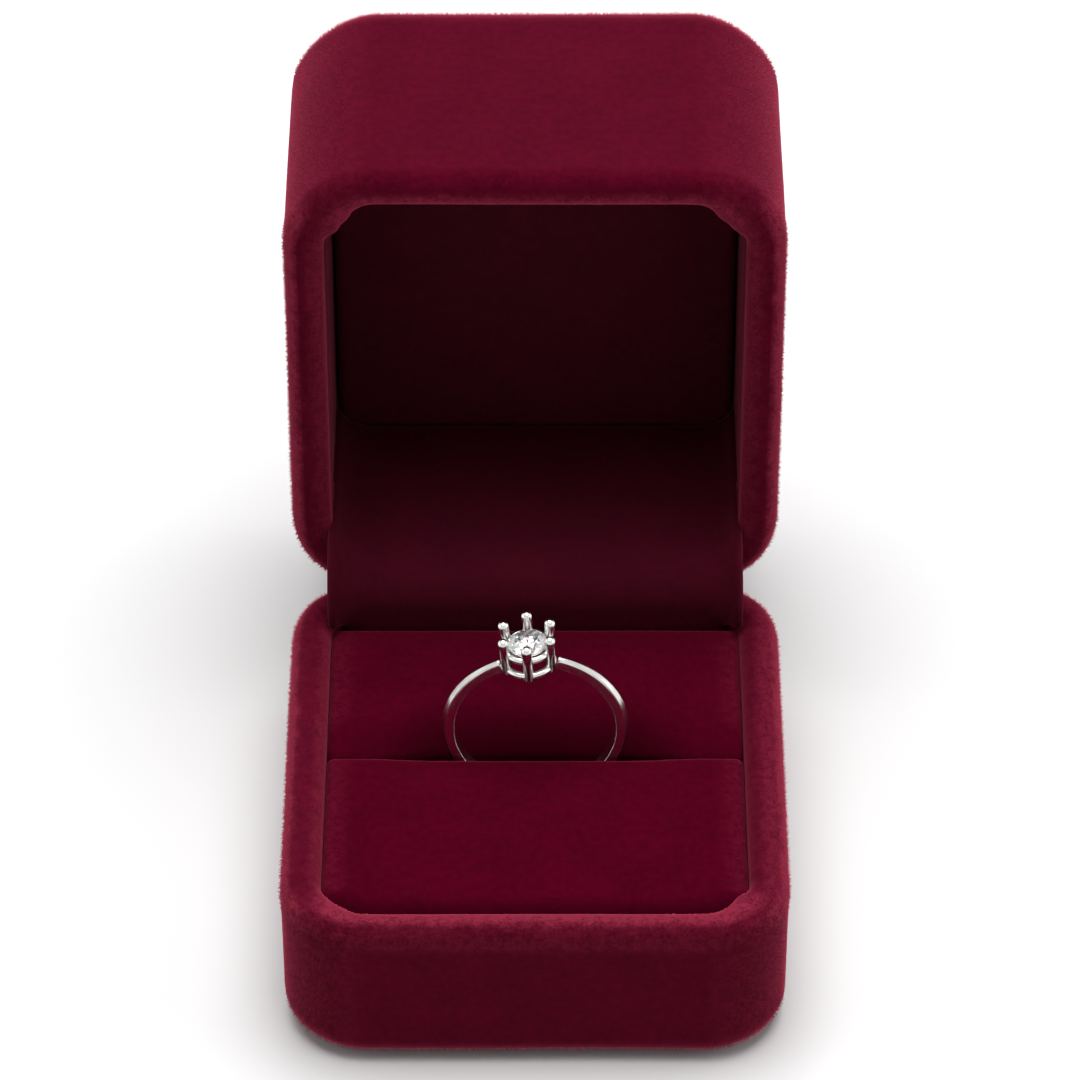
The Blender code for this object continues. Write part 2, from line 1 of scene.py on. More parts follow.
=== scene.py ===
"""Looks of an open velvet ring box with a solitaire ring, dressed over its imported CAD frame.

Lengths are metres in the CAD part's frame: +Z is up, +Y points away from the viewer, and the origin is
the middle of the underside. The lid's pieces are modelled closed and then turned open about the hinge.
"""

import logging
import math
import random
from collections.abc import Callable, Iterable, Sequence
from dataclasses import dataclass
from enum import Enum
from functools import cache

import bmesh
import bpy
from mathutils import Matrix, Vector, noise
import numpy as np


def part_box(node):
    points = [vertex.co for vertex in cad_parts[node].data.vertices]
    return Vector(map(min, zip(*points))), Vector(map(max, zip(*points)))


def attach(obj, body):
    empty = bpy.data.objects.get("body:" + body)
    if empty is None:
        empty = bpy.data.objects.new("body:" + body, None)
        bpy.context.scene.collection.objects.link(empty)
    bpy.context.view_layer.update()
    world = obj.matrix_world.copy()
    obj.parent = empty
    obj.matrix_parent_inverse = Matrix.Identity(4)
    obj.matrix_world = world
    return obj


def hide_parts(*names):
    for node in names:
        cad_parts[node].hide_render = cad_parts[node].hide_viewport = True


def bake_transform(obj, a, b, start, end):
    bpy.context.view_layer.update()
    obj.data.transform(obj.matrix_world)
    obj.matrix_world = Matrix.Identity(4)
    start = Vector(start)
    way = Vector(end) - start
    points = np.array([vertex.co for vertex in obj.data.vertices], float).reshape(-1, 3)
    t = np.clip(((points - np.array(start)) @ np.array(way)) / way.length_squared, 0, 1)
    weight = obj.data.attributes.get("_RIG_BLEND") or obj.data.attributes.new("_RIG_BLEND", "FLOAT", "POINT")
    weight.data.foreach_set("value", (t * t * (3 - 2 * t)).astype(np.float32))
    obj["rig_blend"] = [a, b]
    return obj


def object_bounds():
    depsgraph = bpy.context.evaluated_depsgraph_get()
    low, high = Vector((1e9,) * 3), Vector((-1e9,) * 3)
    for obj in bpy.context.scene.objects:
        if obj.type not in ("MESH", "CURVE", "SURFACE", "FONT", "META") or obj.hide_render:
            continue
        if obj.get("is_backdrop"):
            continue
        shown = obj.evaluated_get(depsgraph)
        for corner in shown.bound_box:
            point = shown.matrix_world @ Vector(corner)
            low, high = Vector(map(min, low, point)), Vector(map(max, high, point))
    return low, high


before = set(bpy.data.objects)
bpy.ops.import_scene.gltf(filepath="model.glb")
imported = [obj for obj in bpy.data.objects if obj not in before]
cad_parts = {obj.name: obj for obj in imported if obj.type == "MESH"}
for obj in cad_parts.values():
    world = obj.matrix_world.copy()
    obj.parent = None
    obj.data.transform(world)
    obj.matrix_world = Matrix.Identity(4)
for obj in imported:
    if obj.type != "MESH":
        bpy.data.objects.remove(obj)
CAD_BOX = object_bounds()

MM = 0.001
WELD = 0.01 * MM
FINE_WELD = 0.002 * MM
LOG = logging.getLogger("ring_box")
SPLAY_AND_LIGHT = "splay_and_light"
NAP = "nap"

Colour = tuple[float, float, float]
Point = tuple[float, float]
Place = tuple[float, float, float]
Ring = list[bmesh.types.BMEdge]
Rows = list[tuple[float, list[bmesh.types.BMVert]]]


class Wire:
    """A node's output that takes part in Python arithmetic: each operator adds a Math node."""

    def __init__(self, graph: "Graph", socket: bpy.types.NodeSocket) -> None:
        """Keeps the graph and the socket."""
        self.graph = graph
        self.socket = socket

    def _math(self, operation: str, first: "Wire | float", second: "Wire | float") -> "Wire":
        """Adds a Math node with two values."""
        return self.graph.node("ShaderNodeMath", {"operation": operation}, {0: first, 1: second})

    def __add__(self, other: "Wire | float") -> "Wire":
        """Sum of two values."""
        return self._math("ADD", self, other)

    def __radd__(self, other: float) -> "Wire":
        """Sum with a number on the left."""
        return self._math("ADD", other, self)

    def __sub__(self, other: "Wire | float") -> "Wire":
        """Difference of two values."""
        return self._math("SUBTRACT", self, other)

    def __rsub__(self, other: float) -> "Wire":
        """Difference from a number on the left."""
        return self._math("SUBTRACT", other, self)

    def __mul__(self, other: "Wire | float") -> "Wire":
        """Product of two values."""
        return self._math("MULTIPLY", self, other)

    def __rmul__(self, other: float) -> "Wire":
        """Product with a number on the left."""
        return self._math("MULTIPLY", other, self)

    def __pow__(self, other: "Wire | float") -> "Wire":
        """A value raised to a power."""
        return self._math("POWER", self, other)

    def __or__(self, other: "Wire | float") -> "Wire":
        """The greater of two values."""
        return self._math("MAXIMUM", self, other)


class Graph:
    """The node tree of a material or of the world."""

    def __init__(self, tree: bpy.types.NodeTree) -> None:
        """Empties the tree."""
        self.tree = tree
        tree.nodes.clear()

    def node(
        self,
        kind: str,
        settings: dict[str, object] | None = None,
        inputs: dict[str | int, object] | None = None,
        output: str | int = 0,
    ) -> Wire:
        """Adds a node.

        Args:
            kind: the node's type name.
            settings: the node's own settings, set before its sockets.
            inputs: values or wires for its input sockets, by name or number.
            output: the output socket that is returned.

        Returns:
            The chosen output.
        """
        made = self.tree.nodes.new(kind)
        for name, value in (settings or {}).items():
            setattr(made, name, value)
        for name, value in (inputs or {}).items():
            if isinstance(value, Wire):
                self.tree.links.new(value.socket, made.inputs[name])
            else:
                made.inputs[name].default_value = value
        return Wire(self, made.outputs[output])

    def mix(self, factor: Wire, first: Colour | Wire, second: Colour | Wire) -> Wire:
        """Mixes two colours by a factor."""
        ends = [side if isinstance(side, Wire) else (*side, 1.0) for side in (first, second)]
        return self.node("ShaderNodeMix", {"data_type": "RGBA"}, {0: factor, 6: ends[0], 7: ends[1]}, 2)

    def place(self, scale: Sequence[float] = (1.0, 1.0, 1.0)) -> Wire:
        """The piece's Object coordinates, stretched by a scale."""
        here = self.node("ShaderNodeTexCoord", output="Object")
        return self.node("ShaderNodeMapping", inputs={"Vector": here, "Scale": scale})

    def grain(self, place: Wire, scale: float, detail: float = 3.0, roughness: float = 0.5) -> Wire:
        """Noise between 0 and 1 with features of about one part in scale of a metre."""
        sizes = {"Vector": place, "Scale": scale, "Detail": detail, "Roughness": roughness}
        return self.node("ShaderNodeTexNoise", inputs=sizes)

    def spread(self, value: Wire, low: float, high: float) -> Wire:
        """Stretches the range from low to high over 0 to 1."""
        limits = {"Value": value, "From Min": low, "From Max": high}
        return self.node("ShaderNodeMapRange", {"interpolation_type": "SMOOTHSTEP"}, limits)

    def patches(self, place: Wire, scale: float, limits: Point, detail: float = 3.0) -> Wire:
        """Noise whose range between two limits is stretched over 0 to 1."""
        return self.spread(self.grain(place, scale, detail), *limits)

    def bump(self, height: Wire, distance: float, strength: float) -> Wire:
        """A bumped normal from a height between 0 and 1."""
        sizes = {"Height": height, "Distance": distance, "Strength": strength}
        return self.node("ShaderNodeBump", inputs=sizes)

    def surface(self, inputs: dict[str | int, object]) -> None:
        """Ends the tree with a Principled shader."""
        shader = self.node("ShaderNodeBsdfPrincipled", inputs=inputs)
        self.node_output("ShaderNodeOutputMaterial", shader)

    def node_output(self, kind: str, shader: Wire) -> None:
        """Ends the tree with an output node."""
        made = self.tree.nodes.new(kind)
        self.tree.links.new(shader.socket, made.inputs["Surface"])


class Finish:
    """What a surface is made of. Each finish makes one material, which its pieces share."""

    name: str

    def shade(self, graph: Graph) -> None:
        """Fills the material's tree."""
        raise NotImplementedError

    def material(self) -> bpy.types.Material:
        """Finds the finish's material, or makes it at its first use.

        Returns:
            The material.
        """
        made = bpy.data.materials.get(self.name)
        if made is None:
            made = bpy.data.materials.new(self.name)
            made.use_nodes = True
            self.shade(Graph(made.node_tree))
        return made

    def dress(self, piece: bpy.types.Object) -> None:
        """Gives a piece this finish alone."""
        piece.data.materials.clear()
        piece.data.materials.append(self.material())


@dataclass(frozen=True)
class Velvet(Finish):
    """Short cut pile: dark where it faces the eye, with a painted sheen at a glance and where it splays, and
    painted shade where it is marked.
    """

    name: str
    deep: Colour
    light: Colour
    # Painted light: a sheen colour where the pile splays, a shade colour where shade is painted, and a sheen
    # colour mixed in at a glance.
    splayed_sheen: Colour = (0.235, 0.0190, 0.0460)
    painted_shade: Colour = (0.026, 0.0004, 0.0038)
    painted_sheen_colour: Colour = (0.500, 0.0500, 0.1050)
    painted_sheen: float = 0.85
    painted_sheen_power: float = 4.2
    sheen_tint: Colour = (0.95, 0.20, 0.31)
    sheen: float = 0.09
    sheen_roughness: float = 0.30
    haze: float = 0.0
    dullness: Point = (0.88, 0.12)
    patch_scale: float = 190.0
    patch_range: Point = (0.25, 0.78)
    tuft_scale: float = 1150.0
    tuft_range: Point = (0.28, 0.74)
    fibre_scale: float = 3600.0
    fibre_range: Point = (0.34, 0.66)
    fibre_roughness: float = 0.6
    colour_shares: Place = (0.28, 0.36, 0.36)
    parted_sheen_shares: Place = (0.25, 0.45, 0.60)
    relief_shares: Point = (0.4, 0.6)
    pile_depth: float = 0.14 * MM
    pile_strength: float = 0.5

    def shade(self, graph: Graph) -> None:
        """Mottled colour with painted sheen at edges and at a glance, painted shade where marked, and a bump
        from tufts and single fibres.

        Args:
            graph: the material's tree.
        """
        place = graph.place()
        patches = graph.patches(place, self.patch_scale, self.patch_range)
        tufts = graph.patches(place, self.tuft_scale, self.tuft_range, 2.0)
        fibres = graph.grain(place, self.fibre_scale, 2.0, self.fibre_roughness)
        by_patch, by_tuft, by_fibre = self.colour_shares
        mottle = by_patch * patches + by_tuft * tufts + by_fibre * fibres
        body = graph.mix(mottle, self.deep, self.light)
        # The splay value: painted sheen where it is positive, painted shade where it is negative.
        splay_and_light = graph.node("ShaderNodeAttribute", {"attribute_name": SPLAY_AND_LIGHT}, output="Fac")
        everywhere, by_tuft, by_fibre = self.parted_sheen_shares
        uneven = everywhere + by_tuft * tufts + by_fibre * graph.spread(fibres, *self.fibre_range)
        parted_sheen = (splay_and_light | 0.0) * uneven
        # pressed is the share of painted shade.
        pressed = (0.0 - splay_and_light) | 0.0
        # Painted sheen: a glancing colour mixed in as the surface turns from the eye.
        facing = graph.node("ShaderNodeLayerWeight", inputs={"Blend": 0.5}, output="Facing")
        body = graph.mix(pressed, graph.mix(parted_sheen, body, self.splayed_sheen), self.painted_shade)
        painted_sheen_share = self.painted_sheen * (1.0 - pressed) * facing ** self.painted_sheen_power
        least, more = self.dullness
        by_tuft, by_fibre = self.relief_shares
        height = by_tuft * tufts + by_fibre * fibres
        graph.surface({
            "Base Color": graph.mix(painted_sheen_share, body, self.painted_sheen_colour),
            "Roughness": least + more * fibres,
            "Specular IOR Level": self.haze,
            "Sheen Weight": self.sheen,
            "Sheen Roughness": self.sheen_roughness,
            "Sheen Tint": (*self.sheen_tint, 1.0),
            "Normal": graph.bump(height, self.pile_depth, self.pile_strength),
        })


@dataclass(frozen=True)
class PolishedMetal(Finish):
    """White metal with a soft polish, a little duller in patches."""

    name: str = "polished_white_metal"
    colour: Colour = (0.80, 0.79, 0.77)
    dull: Colour = (0.70, 0.69, 0.67)
    roughness: float = 0.15
    haze_scale: float = 700.0
    haze_range: Point = (0.35, 0.75)
    haze_roughness: float = 0.06
    scratch_scale: Place = (9000.0, 9000.0, 900.0)
    scratch_roughness: float = 0.04

    def shade(self, graph: Graph) -> None:
        """A slight haze and fine scratches.

        Args:
            graph: the material's tree.
        """
        haze = graph.patches(graph.place(), self.haze_scale, self.haze_range)
        scratches = graph.grain(graph.place(self.scratch_scale), 1.0, 2.0)
        dull = self.roughness + self.haze_roughness * haze + self.scratch_roughness * scratches
        graph.surface({
            "Base Color": graph.mix(haze, self.colour, self.dull),
            "Metallic": 1.0,
            "Roughness": dull,
        })


@dataclass(frozen=True)
class NickelledSteel(Finish):
    """Stamped spring steel under nickel, with drawing lines along the hinge."""

    name: str = "nickelled_steel"
    colour: Colour = (0.62, 0.60, 0.56)
    worn: Colour = (0.46, 0.44, 0.41)
    roughness: float = 0.24
    line_scale: Place = (60.0, 5200.0, 5200.0)
    line_roughness: float = 0.12
    line_depth: float = 0.02 * MM
    line_strength: float = 0.3
    stain_scale: float = 320.0
    stain_range: Point = (0.42, 0.78)
    stain_roughness: float = 0.12

    def shade(self, graph: Graph) -> None:
        """Drawn lines in colour, gloss and relief.

        Args:
            graph: the material's tree.
        """
        lines = graph.grain(graph.place(self.line_scale), 1.0)
        stains = graph.patches(graph.place(), self.stain_scale, self.stain_range)
        graph.surface({
            "Base Color": graph.mix(stains, self.colour, self.worn),
            "Metallic": 1.0,
            "Roughness": self.roughness + self.line_roughness * lines + self.stain_roughness * stains,
            "Normal": graph.bump(lines, self.line_depth, self.line_strength),
        })


@dataclass(frozen=True)
class Crystal(Finish):
    """Cut clear stone."""

    name: str = "cut_crystal"
    colour: Colour = (0.985, 0.99, 1.0)
    index: float = 2.2
    clearness: float = 0.94
    roughness: Point = (0.004, 0.008)
    haze_scale: float = 900.0

    def shade(self, graph: Graph) -> None:
        """Clear body with a trace of polishing haze.

        Args:
            graph: the material's tree.
        """
        least, more = self.roughness
        graph.surface({
            "Base Color": (*self.colour, 1.0),
            "Roughness": least + more * graph.grain(graph.place(), self.haze_scale, 1.0),
            "IOR": self.index,
            "Transmission Weight": self.clearness,
        })


@dataclass(frozen=True)
class MouldedPlastic(Finish):
    """Dark moulded shell under the velvet, with glue marks."""

    name: str = "moulded_plastic"
    colour: Colour = (0.030, 0.012, 0.014)
    glue: Colour = (0.085, 0.050, 0.045)
    glue_scale: float = 130.0
    glue_range: Point = (0.50, 0.72)
    glue_gloss: float = 0.20
    spark_scale: float = 4200.0
    spark_depth: float = 0.03 * MM
    spark_strength: float = 0.4
    roughness: Point = (0.55, 0.10)

    def shade(self, graph: Graph) -> None:
        """Fine spark texture and smears of glue.

        Args:
            graph: the material's tree.
        """
        place = graph.place()
        smear = graph.patches(place, self.glue_scale, self.glue_range)
        spark = graph.grain(place, self.spark_scale, 2.0)
        least, more = self.roughness
        graph.surface({
            "Base Color": graph.mix(smear, self.colour, self.glue),
            "Roughness": least - self.glue_gloss * smear + more * spark,
            "Normal": graph.bump(spark, self.spark_depth, self.spark_strength),
        })


@dataclass(frozen=True)
class GreyBoard(Finish):
    """Pressed grey card with fibres."""

    name: str = "grey_board"
    colour: Colour = (0.36, 0.34, 0.30)
    fleck: Colour = (0.20, 0.18, 0.16)
    fleck_scale: Place = (500.0, 1500.0, 1500.0)
    fleck_range: Point = (0.55, 0.75)
    felt_scale: float = 2200.0
    felt_depth: float = 0.05 * MM
    felt_strength: float = 0.4
    roughness: Point = (0.88, 0.10)

    def shade(self, graph: Graph) -> None:
        """Flecks and a felted relief.

        Args:
            graph: the material's tree.
        """
        flecks = graph.patches(graph.place(self.fleck_scale), 1.0, self.fleck_range, 4.0)
        felt = graph.grain(graph.place(), self.felt_scale)
        least, more = self.roughness
        graph.surface({
            "Base Color": graph.mix(flecks, self.colour, self.fleck),
            "Roughness": least + more * felt,
            "Normal": graph.bump(felt, self.felt_depth, self.felt_strength),
        })


@dataclass(frozen=True)
class OpenFoam(Finish):
    """Dark red foam with open cells."""

    name: str = "open_cell_foam"
    colour: Colour = (0.062, 0.005, 0.012)
    # Painted shade in the open cells.
    pore_shade: Colour = (0.018, 0.001, 0.003)
    cell_scale: float = 2600.0
    cell_range: Point = (0.15, 0.60)
    cell_depth: float = 0.20 * MM
    cell_strength: float = 0.8
    rim_gloss: float = 0.10

    def shade(self, graph: Graph) -> None:
        """Cells with painted shade towards their middles, which are also deeper.

        Args:
            graph: the material's tree.
        """
        sizes = {"Vector": graph.place(), "Scale": self.cell_scale}
        cells = graph.node("ShaderNodeTexVoronoi", inputs=sizes, output="Distance")
        rim = graph.spread(cells, *self.cell_range)
        graph.surface({
            "Base Color": graph.mix(rim, self.pore_shade, self.colour),
            "Roughness": 1.0 - self.rim_gloss * rim,
            "Normal": graph.bump(rim, self.cell_depth, self.cell_strength),
        })


class Facing(Enum):
    """Which way the open end of a shell looks while the box is closed."""

    UP = 1
    DOWN = -1


class Growth:
    """A sheet of faces grown row by row out of one row of edges."""

    def __init__(self, bm: bmesh.types.BMesh, row: Ring) -> None:
        """Starts from a row of edges.

        Args:
            bm: the mesh that holds it.
            row: the edges.
        """
        self.bm = bm
        self.first = row
        self.last = row

    def grow(self, move: Callable[[Vector], Vector]) -> list[bmesh.types.BMVert]:
        """Extrudes the last row.

        Args:
            move: gives a corner's new place from its old one.

        Returns:
            The new row's corners.
        """
        made = bmesh.ops.extrude_edge_only(self.bm, edges=self.last)["geom"]
        self.last = [part for part in made if isinstance(part, bmesh.types.BMEdge)]
        corners = [part for part in made if isinstance(part, bmesh.types.BMVert)]
        for corner in corners:
            corner.co = move(corner.co)
        return corners

    def close(self, middle: Vector, rings: int, lift: Callable[[float], float]) -> list[bmesh.types.BMVert]:
        """Draws the last ring together over a face and fills what is left.

        Args:
            middle: the point that the rings close in on.
            rings: how many rings the face gets.
            lift: height added at a share of the way to the middle.

        Returns:
            The new corners.
        """
        made = []
        for step in range(1, rings):
            shrink = (rings - step) / (rings - step + 1)
            rise = lift(step / rings) - lift((step - 1) / rings)

            def move(point: Vector, shrink: float = shrink, rise: float = rise) -> Vector:
                """One step towards the middle."""
                drawn = middle + (point - middle) * shrink
                return Vector((drawn.x, drawn.y, point.z + rise))

            made += self.grow(move)
        bmesh.ops.edgeloop_fill(self.bm, edges=self.last)
        return made


@cache
def node_box(node: str) -> tuple[Vector, Vector]:
    """Lowest and highest corner of a CAD node."""
    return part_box(node)


def arc(centre: Point, radius: float, start: float, end: float, steps: int) -> list[Point]:
    """Points of a plane arc between two angles in degrees, both ends included."""
    angles = [math.radians(start + (end - start) * step / steps) for step in range(steps + 1)]
    return [(centre[0] + radius * math.cos(a), centre[1] + radius * math.sin(a)) for a in angles]


def evenly(path: Sequence[Point], spacing: float) -> list[Point]:
    """Cuts the longer legs of a path into steps of about one spacing.

    Args:
        path: the path's points.
        spacing: the wanted length of a step.

    Returns:
        The path with the cuts added.
    """
    points = [path[0]]
    for near, far in zip(path, path[1:]):
        cuts = max(1, round(math.dist(near, far) / spacing))
        for cut in range(1, cuts + 1):
            share = cut / cuts
            points.append(tuple(start + (end - start) * share for start, end in zip(near, far)))
    return points


def smooth_step(low: float, high: float, value: float) -> float:
    """Rises smoothly from 0 at low to 1 at high."""
    share = min(max((value - low) / (high - low), 0.0), 1.0)
    return share * share * (3.0 - 2.0 * share)


def raise_pile(bm: bmesh.types.BMesh, corners: Iterable[bmesh.types.BMVert], relief: "Relief") -> None:
    """Moves corners along their normals by a relief.

    Args:
        bm: the mesh.
        corners: which of its corners move.
        relief: how far they do.
    """
    bm.normal_update()
    for corner in corners:
        if corner.is_valid:
            corner.co += corner.normal * relief.at(corner.co)


@dataclass(frozen=True)
class Relief:
    """How uneven a piled surface is: soft waves in the cloth, tufts, and the ends of the pile."""

    wave: float = 0.06 * MM
    wave_size: float = 14.0 * MM
    tuft: float = 0.012 * MM
    tuft_size: float = 1.6 * MM
    pile: float = 0.012 * MM
    pile_size: float = 0.55 * MM

    def at(self, point: Vector) -> float:
        """Height at a point."""
        sizes = ((self.wave, self.wave_size), (self.tuft, self.tuft_size), (self.pile, self.pile_size))
        return sum(height * noise.noise(point / size) for height, size in sizes)


@dataclass(frozen=True)
class Root:
    """Where loose pile stands: a point, its normal, the share of the full length and its splay with painted
    light.
    """

    point: Vector
    normal: Vector
    share: float
    splay_and_light: float


@dataclass(frozen=True)
class Fuzz:
    """Loose ends of a pile: thin three-sided spikes that stand on a velvet skin and shade as it does."""

    per_root: int = 3
    length: float = 0.46 * MM
    least: float = 0.4
    lean: float = 0.45
    radius: float = 0.036 * MM
    scatter: float = 0.24 * MM
    seed: int = 7

    def grow(self, roots: Sequence[Root]) -> bmesh.types.BMesh:
        """Grows spikes, whose nap layer holds the normals of the skin under them.

        Args:
            roots: where they stand.

        Returns:
            The spikes' mesh.
        """
        chance = random.Random(self.seed)
        bm = bmesh.new()
        splay_and_light = bm.verts.layers.float.new(SPLAY_AND_LIGHT)
        nap = bm.verts.layers.float_vector.new(NAP)
        bmesh.ops.create_cone(bm, cap_ends=False, segments=3, radius1=1.0, radius2=0.0, depth=1.0)
        sides = len(bm.faces)
        wanted = sides * self.per_root * len(roots)
        while len(bm.faces) < wanted:
            bmesh.ops.duplicate(bm, geom=bm.faces[: wanted - len(bm.faces)])
        faces = bm.faces[:]
        for number, start in enumerate(range(0, wanted, sides)):
            root = roots[number // self.per_root]
            place = self._place(root, chance)
            for corner in dict.fromkeys(c for face in faces[start : start + sides] for c in face.verts):
                corner.co = place @ corner.co
                corner[splay_and_light] = root.splay_and_light
                corner[nap] = root.normal
        return bm

    def _place(self, root: Root, chance: random.Random) -> Matrix:
        """Where one spike stands.

        Args:
            root: the spot that it stands near.
            chance: what strews the spikes.

        Returns:
            The matrix from an upright unit cone to the spike.
        """
        stray = Vector([chance.uniform(-1, 1) for _ in range(3)])
        stray -= root.normal * stray.dot(root.normal)
        stem = root.normal + self.lean * Vector([chance.gauss(0, 1) for _ in range(3)])
        if stem.dot(root.normal) < 0:
            stem -= 2 * root.normal * stem.dot(root.normal)
        length = self.length * root.share * chance.uniform(self.least, 1.0)
        turn = stem.to_track_quat("Z", "Y").to_matrix().to_4x4()
        middle = root.point + stray * self.scatter + stem.normalized() * length / 2
        return Matrix.Translation(middle) @ turn @ Matrix.Diagonal((self.radius, self.radius, length, 1.0))


@dataclass(frozen=True)
class Outline:
    """The box's rounded plan."""

    width: float = 51.0 * MM
    depth: float = 54.0 * MM
    corner: float = 8.6 * MM

    def ring(self, bm: bmesh.types.BMesh, inset: float, z: float, spacing: float) -> Ring:
        """Makes a rounded rectangle of edges.

        Args:
            bm: an empty bmesh.
            inset: how far it lies inside the outline.
            z: its height.
            spacing: the wanted length of its edges on the outline.

        Returns:
            The ring's edges.
        """
        size = (self.width - 2 * inset, self.depth - 2 * inset)
        radii = (self.corner - inset,) * 4
        steps = math.ceil(self.corner * math.pi / 2 / spacing)
        return rounded_ring(bm, size, radii, steps, spacing, Vector((0.0, 0.0, z)))

    def past_corner(self, point: Vector) -> Point:
        """How far a point lies past the nearest corner's centre, in width and in depth."""
        x, y = abs(point.x) - self.width / 2, abs(point.y) - self.depth / 2
        return x + self.corner, y + self.corner

    def inward(self, point: Vector) -> Vector:
        """Level direction from a point on a ring towards the inside."""
        x, y = (max(part, 0.0) for part in self.past_corner(point))
        return -Vector((math.copysign(x, point.x), math.copysign(y, point.y), 0.0)).normalized()

    def inset(self, point: Vector) -> float:
        """How far inside the outline a point lies."""
        x, y = self.past_corner(point)
        return self.corner - (math.hypot(x, y) if x > 0 and y > 0 else max(x, y))

    def corner_turn(self, point: Vector) -> float | None:
        """How far round its corner a point lies, in degrees from the side, or None on the straights."""
        x, y = self.past_corner(point)
        return math.degrees(math.atan2(y, x)) if x > 0 and y > 0 else None


def weld(bm: bmesh.types.BMesh, reach: float = WELD) -> None:
    """Merges corners that lie within reach of each other."""
    bmesh.ops.remove_doubles(bm, verts=bm.verts[:], dist=reach)


def face_out(bm: bmesh.types.BMesh) -> None:
    """Turns all faces outwards."""
    bmesh.ops.recalc_face_normals(bm, faces=bm.faces[:])


def round_off(
    bm: bmesh.types.BMesh,
    geom: Sequence[bmesh.types.BMVert | bmesh.types.BMEdge],
    affect: str,
    offset: float,
    steps: int,
) -> list[bmesh.types.BMVert]:
    """Bevels corners or edges round.

    Args:
        bm: the mesh.
        geom: its corners or edges.
        affect: VERTICES or EDGES.
        offset: how far the bevel reaches.
        steps: how many steps it has.

    Returns:
        The new corners.
    """
    made = bmesh.ops.bevel(
        bm, geom=geom, affect=affect, offset=offset, offset_type="OFFSET", segments=steps,
        profile=0.5, material=-1,
    )
    return made["verts"]


def rounded_ring(
    bm: bmesh.types.BMesh,
    size: Point,
    radii: Sequence[float],
    steps: int,
    spacing: float,
    middle: Vector,
) -> Ring:
    """Makes a rectangle of edges with its own radius at each corner.

    Args:
        bm: an empty bmesh.
        size: width and depth.
        radii: corner radii, front left, front right, rear left and rear right.
        steps: edges round each corner.
        spacing: length of the edges on the sides.
        middle: where the rectangle's middle lies.

    Returns:
        The ring's edges.
    """
    bmesh.ops.create_grid(bm, x_segments=1, y_segments=1, size=0.5)
    bmesh.ops.scale(bm, vec=(*size, 1.0), verts=bm.verts[:])
    corners = sorted(bm.verts, key=lambda corner: (corner.co.y, corner.co.x))
    for corner, radius in zip(corners, radii):
        round_off(bm, [corner], "VERTICES", radius, steps)
    sides = [edge for edge in bm.edges if edge.calc_length() > size[0] / 4]
    for side in sides:
        bmesh.ops.subdivide_edges(bm, edges=[side], cuts=max(1, round(side.calc_length() / spacing) - 1))
    bmesh.ops.delete(bm, geom=bm.faces[:], context="FACES_ONLY")
    bmesh.ops.translate(bm, vec=middle, verts=bm.verts[:])
    return bm.edges[:]


@dataclass(frozen=True)
class Hinge:
    """The line that the lid turns about, and the hinge's metal pieces."""

    y: float = 26.0 * MM
    z: float = 18.35 * MM
    open_angle: float = math.radians(90.0)
    bend_steps: int = 12
    nodes: tuple[str, ...] = (
        "hinge_base_leaf", "hinge_lid_leaf", "hinge_pin", "hinge_base_rivet_left",
        "hinge_base_rivet_right", "hinge_lid_rivet_left", "hinge_lid_rivet_right",
    )

    def turn(self) -> Matrix:
        """The matrix that opens the lid."""
        axis = Matrix.Translation((0.0, self.y, self.z))
        return axis @ Matrix.Rotation(-self.open_angle, 4, "X") @ axis.inverted()

    def open_lid(self, bm: bmesh.types.BMesh) -> None:
        """Turns a closed lid piece open."""
        bmesh.ops.transform(bm, matrix=self.turn(), verts=bm.verts[:])

    def open_root(self, root: Root) -> Root:
        """Turns a closed lid's root of loose pile open."""
        turn = self.turn()
        return Root(turn @ root.point, turn.to_3x3() @ root.normal, root.share, root.splay_and_light)

    def path(self, radius: float, drop: float, reach: float) -> list[Point]:
        """Path of a strip that runs up the base, round the hinge and along the open lid, from the side.

        Args:
            radius: how far from the hinge's axis it runs.
            drop: its length down the base.
            reach: its length along the lid.

        Returns:
            Its points as (y, z).
        """
        bend = arc((self.y, self.z), radius, 180, 90, self.bend_steps)
        return [(self.y - radius, self.z - drop)] + bend + [(self.y + reach, self.z + radius)]

    def flex(self, strip: bpy.types.Object, radius: float, slot: str, node: str) -> None:
        """Puts a strip in place of a CAD node and lets it bend from the base to the lid.

        Args:
            strip: the strip.
            radius: how far from the hinge's axis it runs.
            slot: its material slot; not used.
            node: the CAD node.
        """
        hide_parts(node)
        start, end = (0.0, self.y - radius, self.z), (0.0, self.y, self.z + radius)
        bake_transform(strip, "base", "lid", start=start, end=end)

    def dress(self, steel: Finish) -> list[bpy.types.Object]:
        """Gives the hinge's CAD pieces their finish and returns them."""
        return dress_nodes(steel, *self.nodes)


def dress_nodes(finish: Finish, *nodes: str) -> list[bpy.types.Object]:
    """Gives CAD nodes whose shape is right their finish.

    Args:
        finish: what they are made of.
        nodes: their names.

    Returns:
        Their objects.
    """
    pieces = [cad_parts[node] for node in nodes]
    for piece in pieces:
        finish.dress(piece)
    return pieces


def new_piece(
    name: str,
    bm: bmesh.types.BMesh,
    finish: Finish,
    smooth: bool = True,
) -> bpy.types.Object:
    """Makes a finished piece at the origin.

    Args:
        name: the piece's name.
        bm: its mesh, which is freed.
        finish: what it is made of.
        smooth: whether its faces are shaded smooth.

    Returns:
        The new object.
    """
    mesh = bpy.data.meshes.new(name)
    bm.to_mesh(mesh)
    bm.free()
    if smooth:
        mesh.shade_smooth()
    piece = bpy.data.objects.new(name, mesh)
    bpy.context.scene.collection.objects.link(piece)
    finish.dress(piece)
    return piece


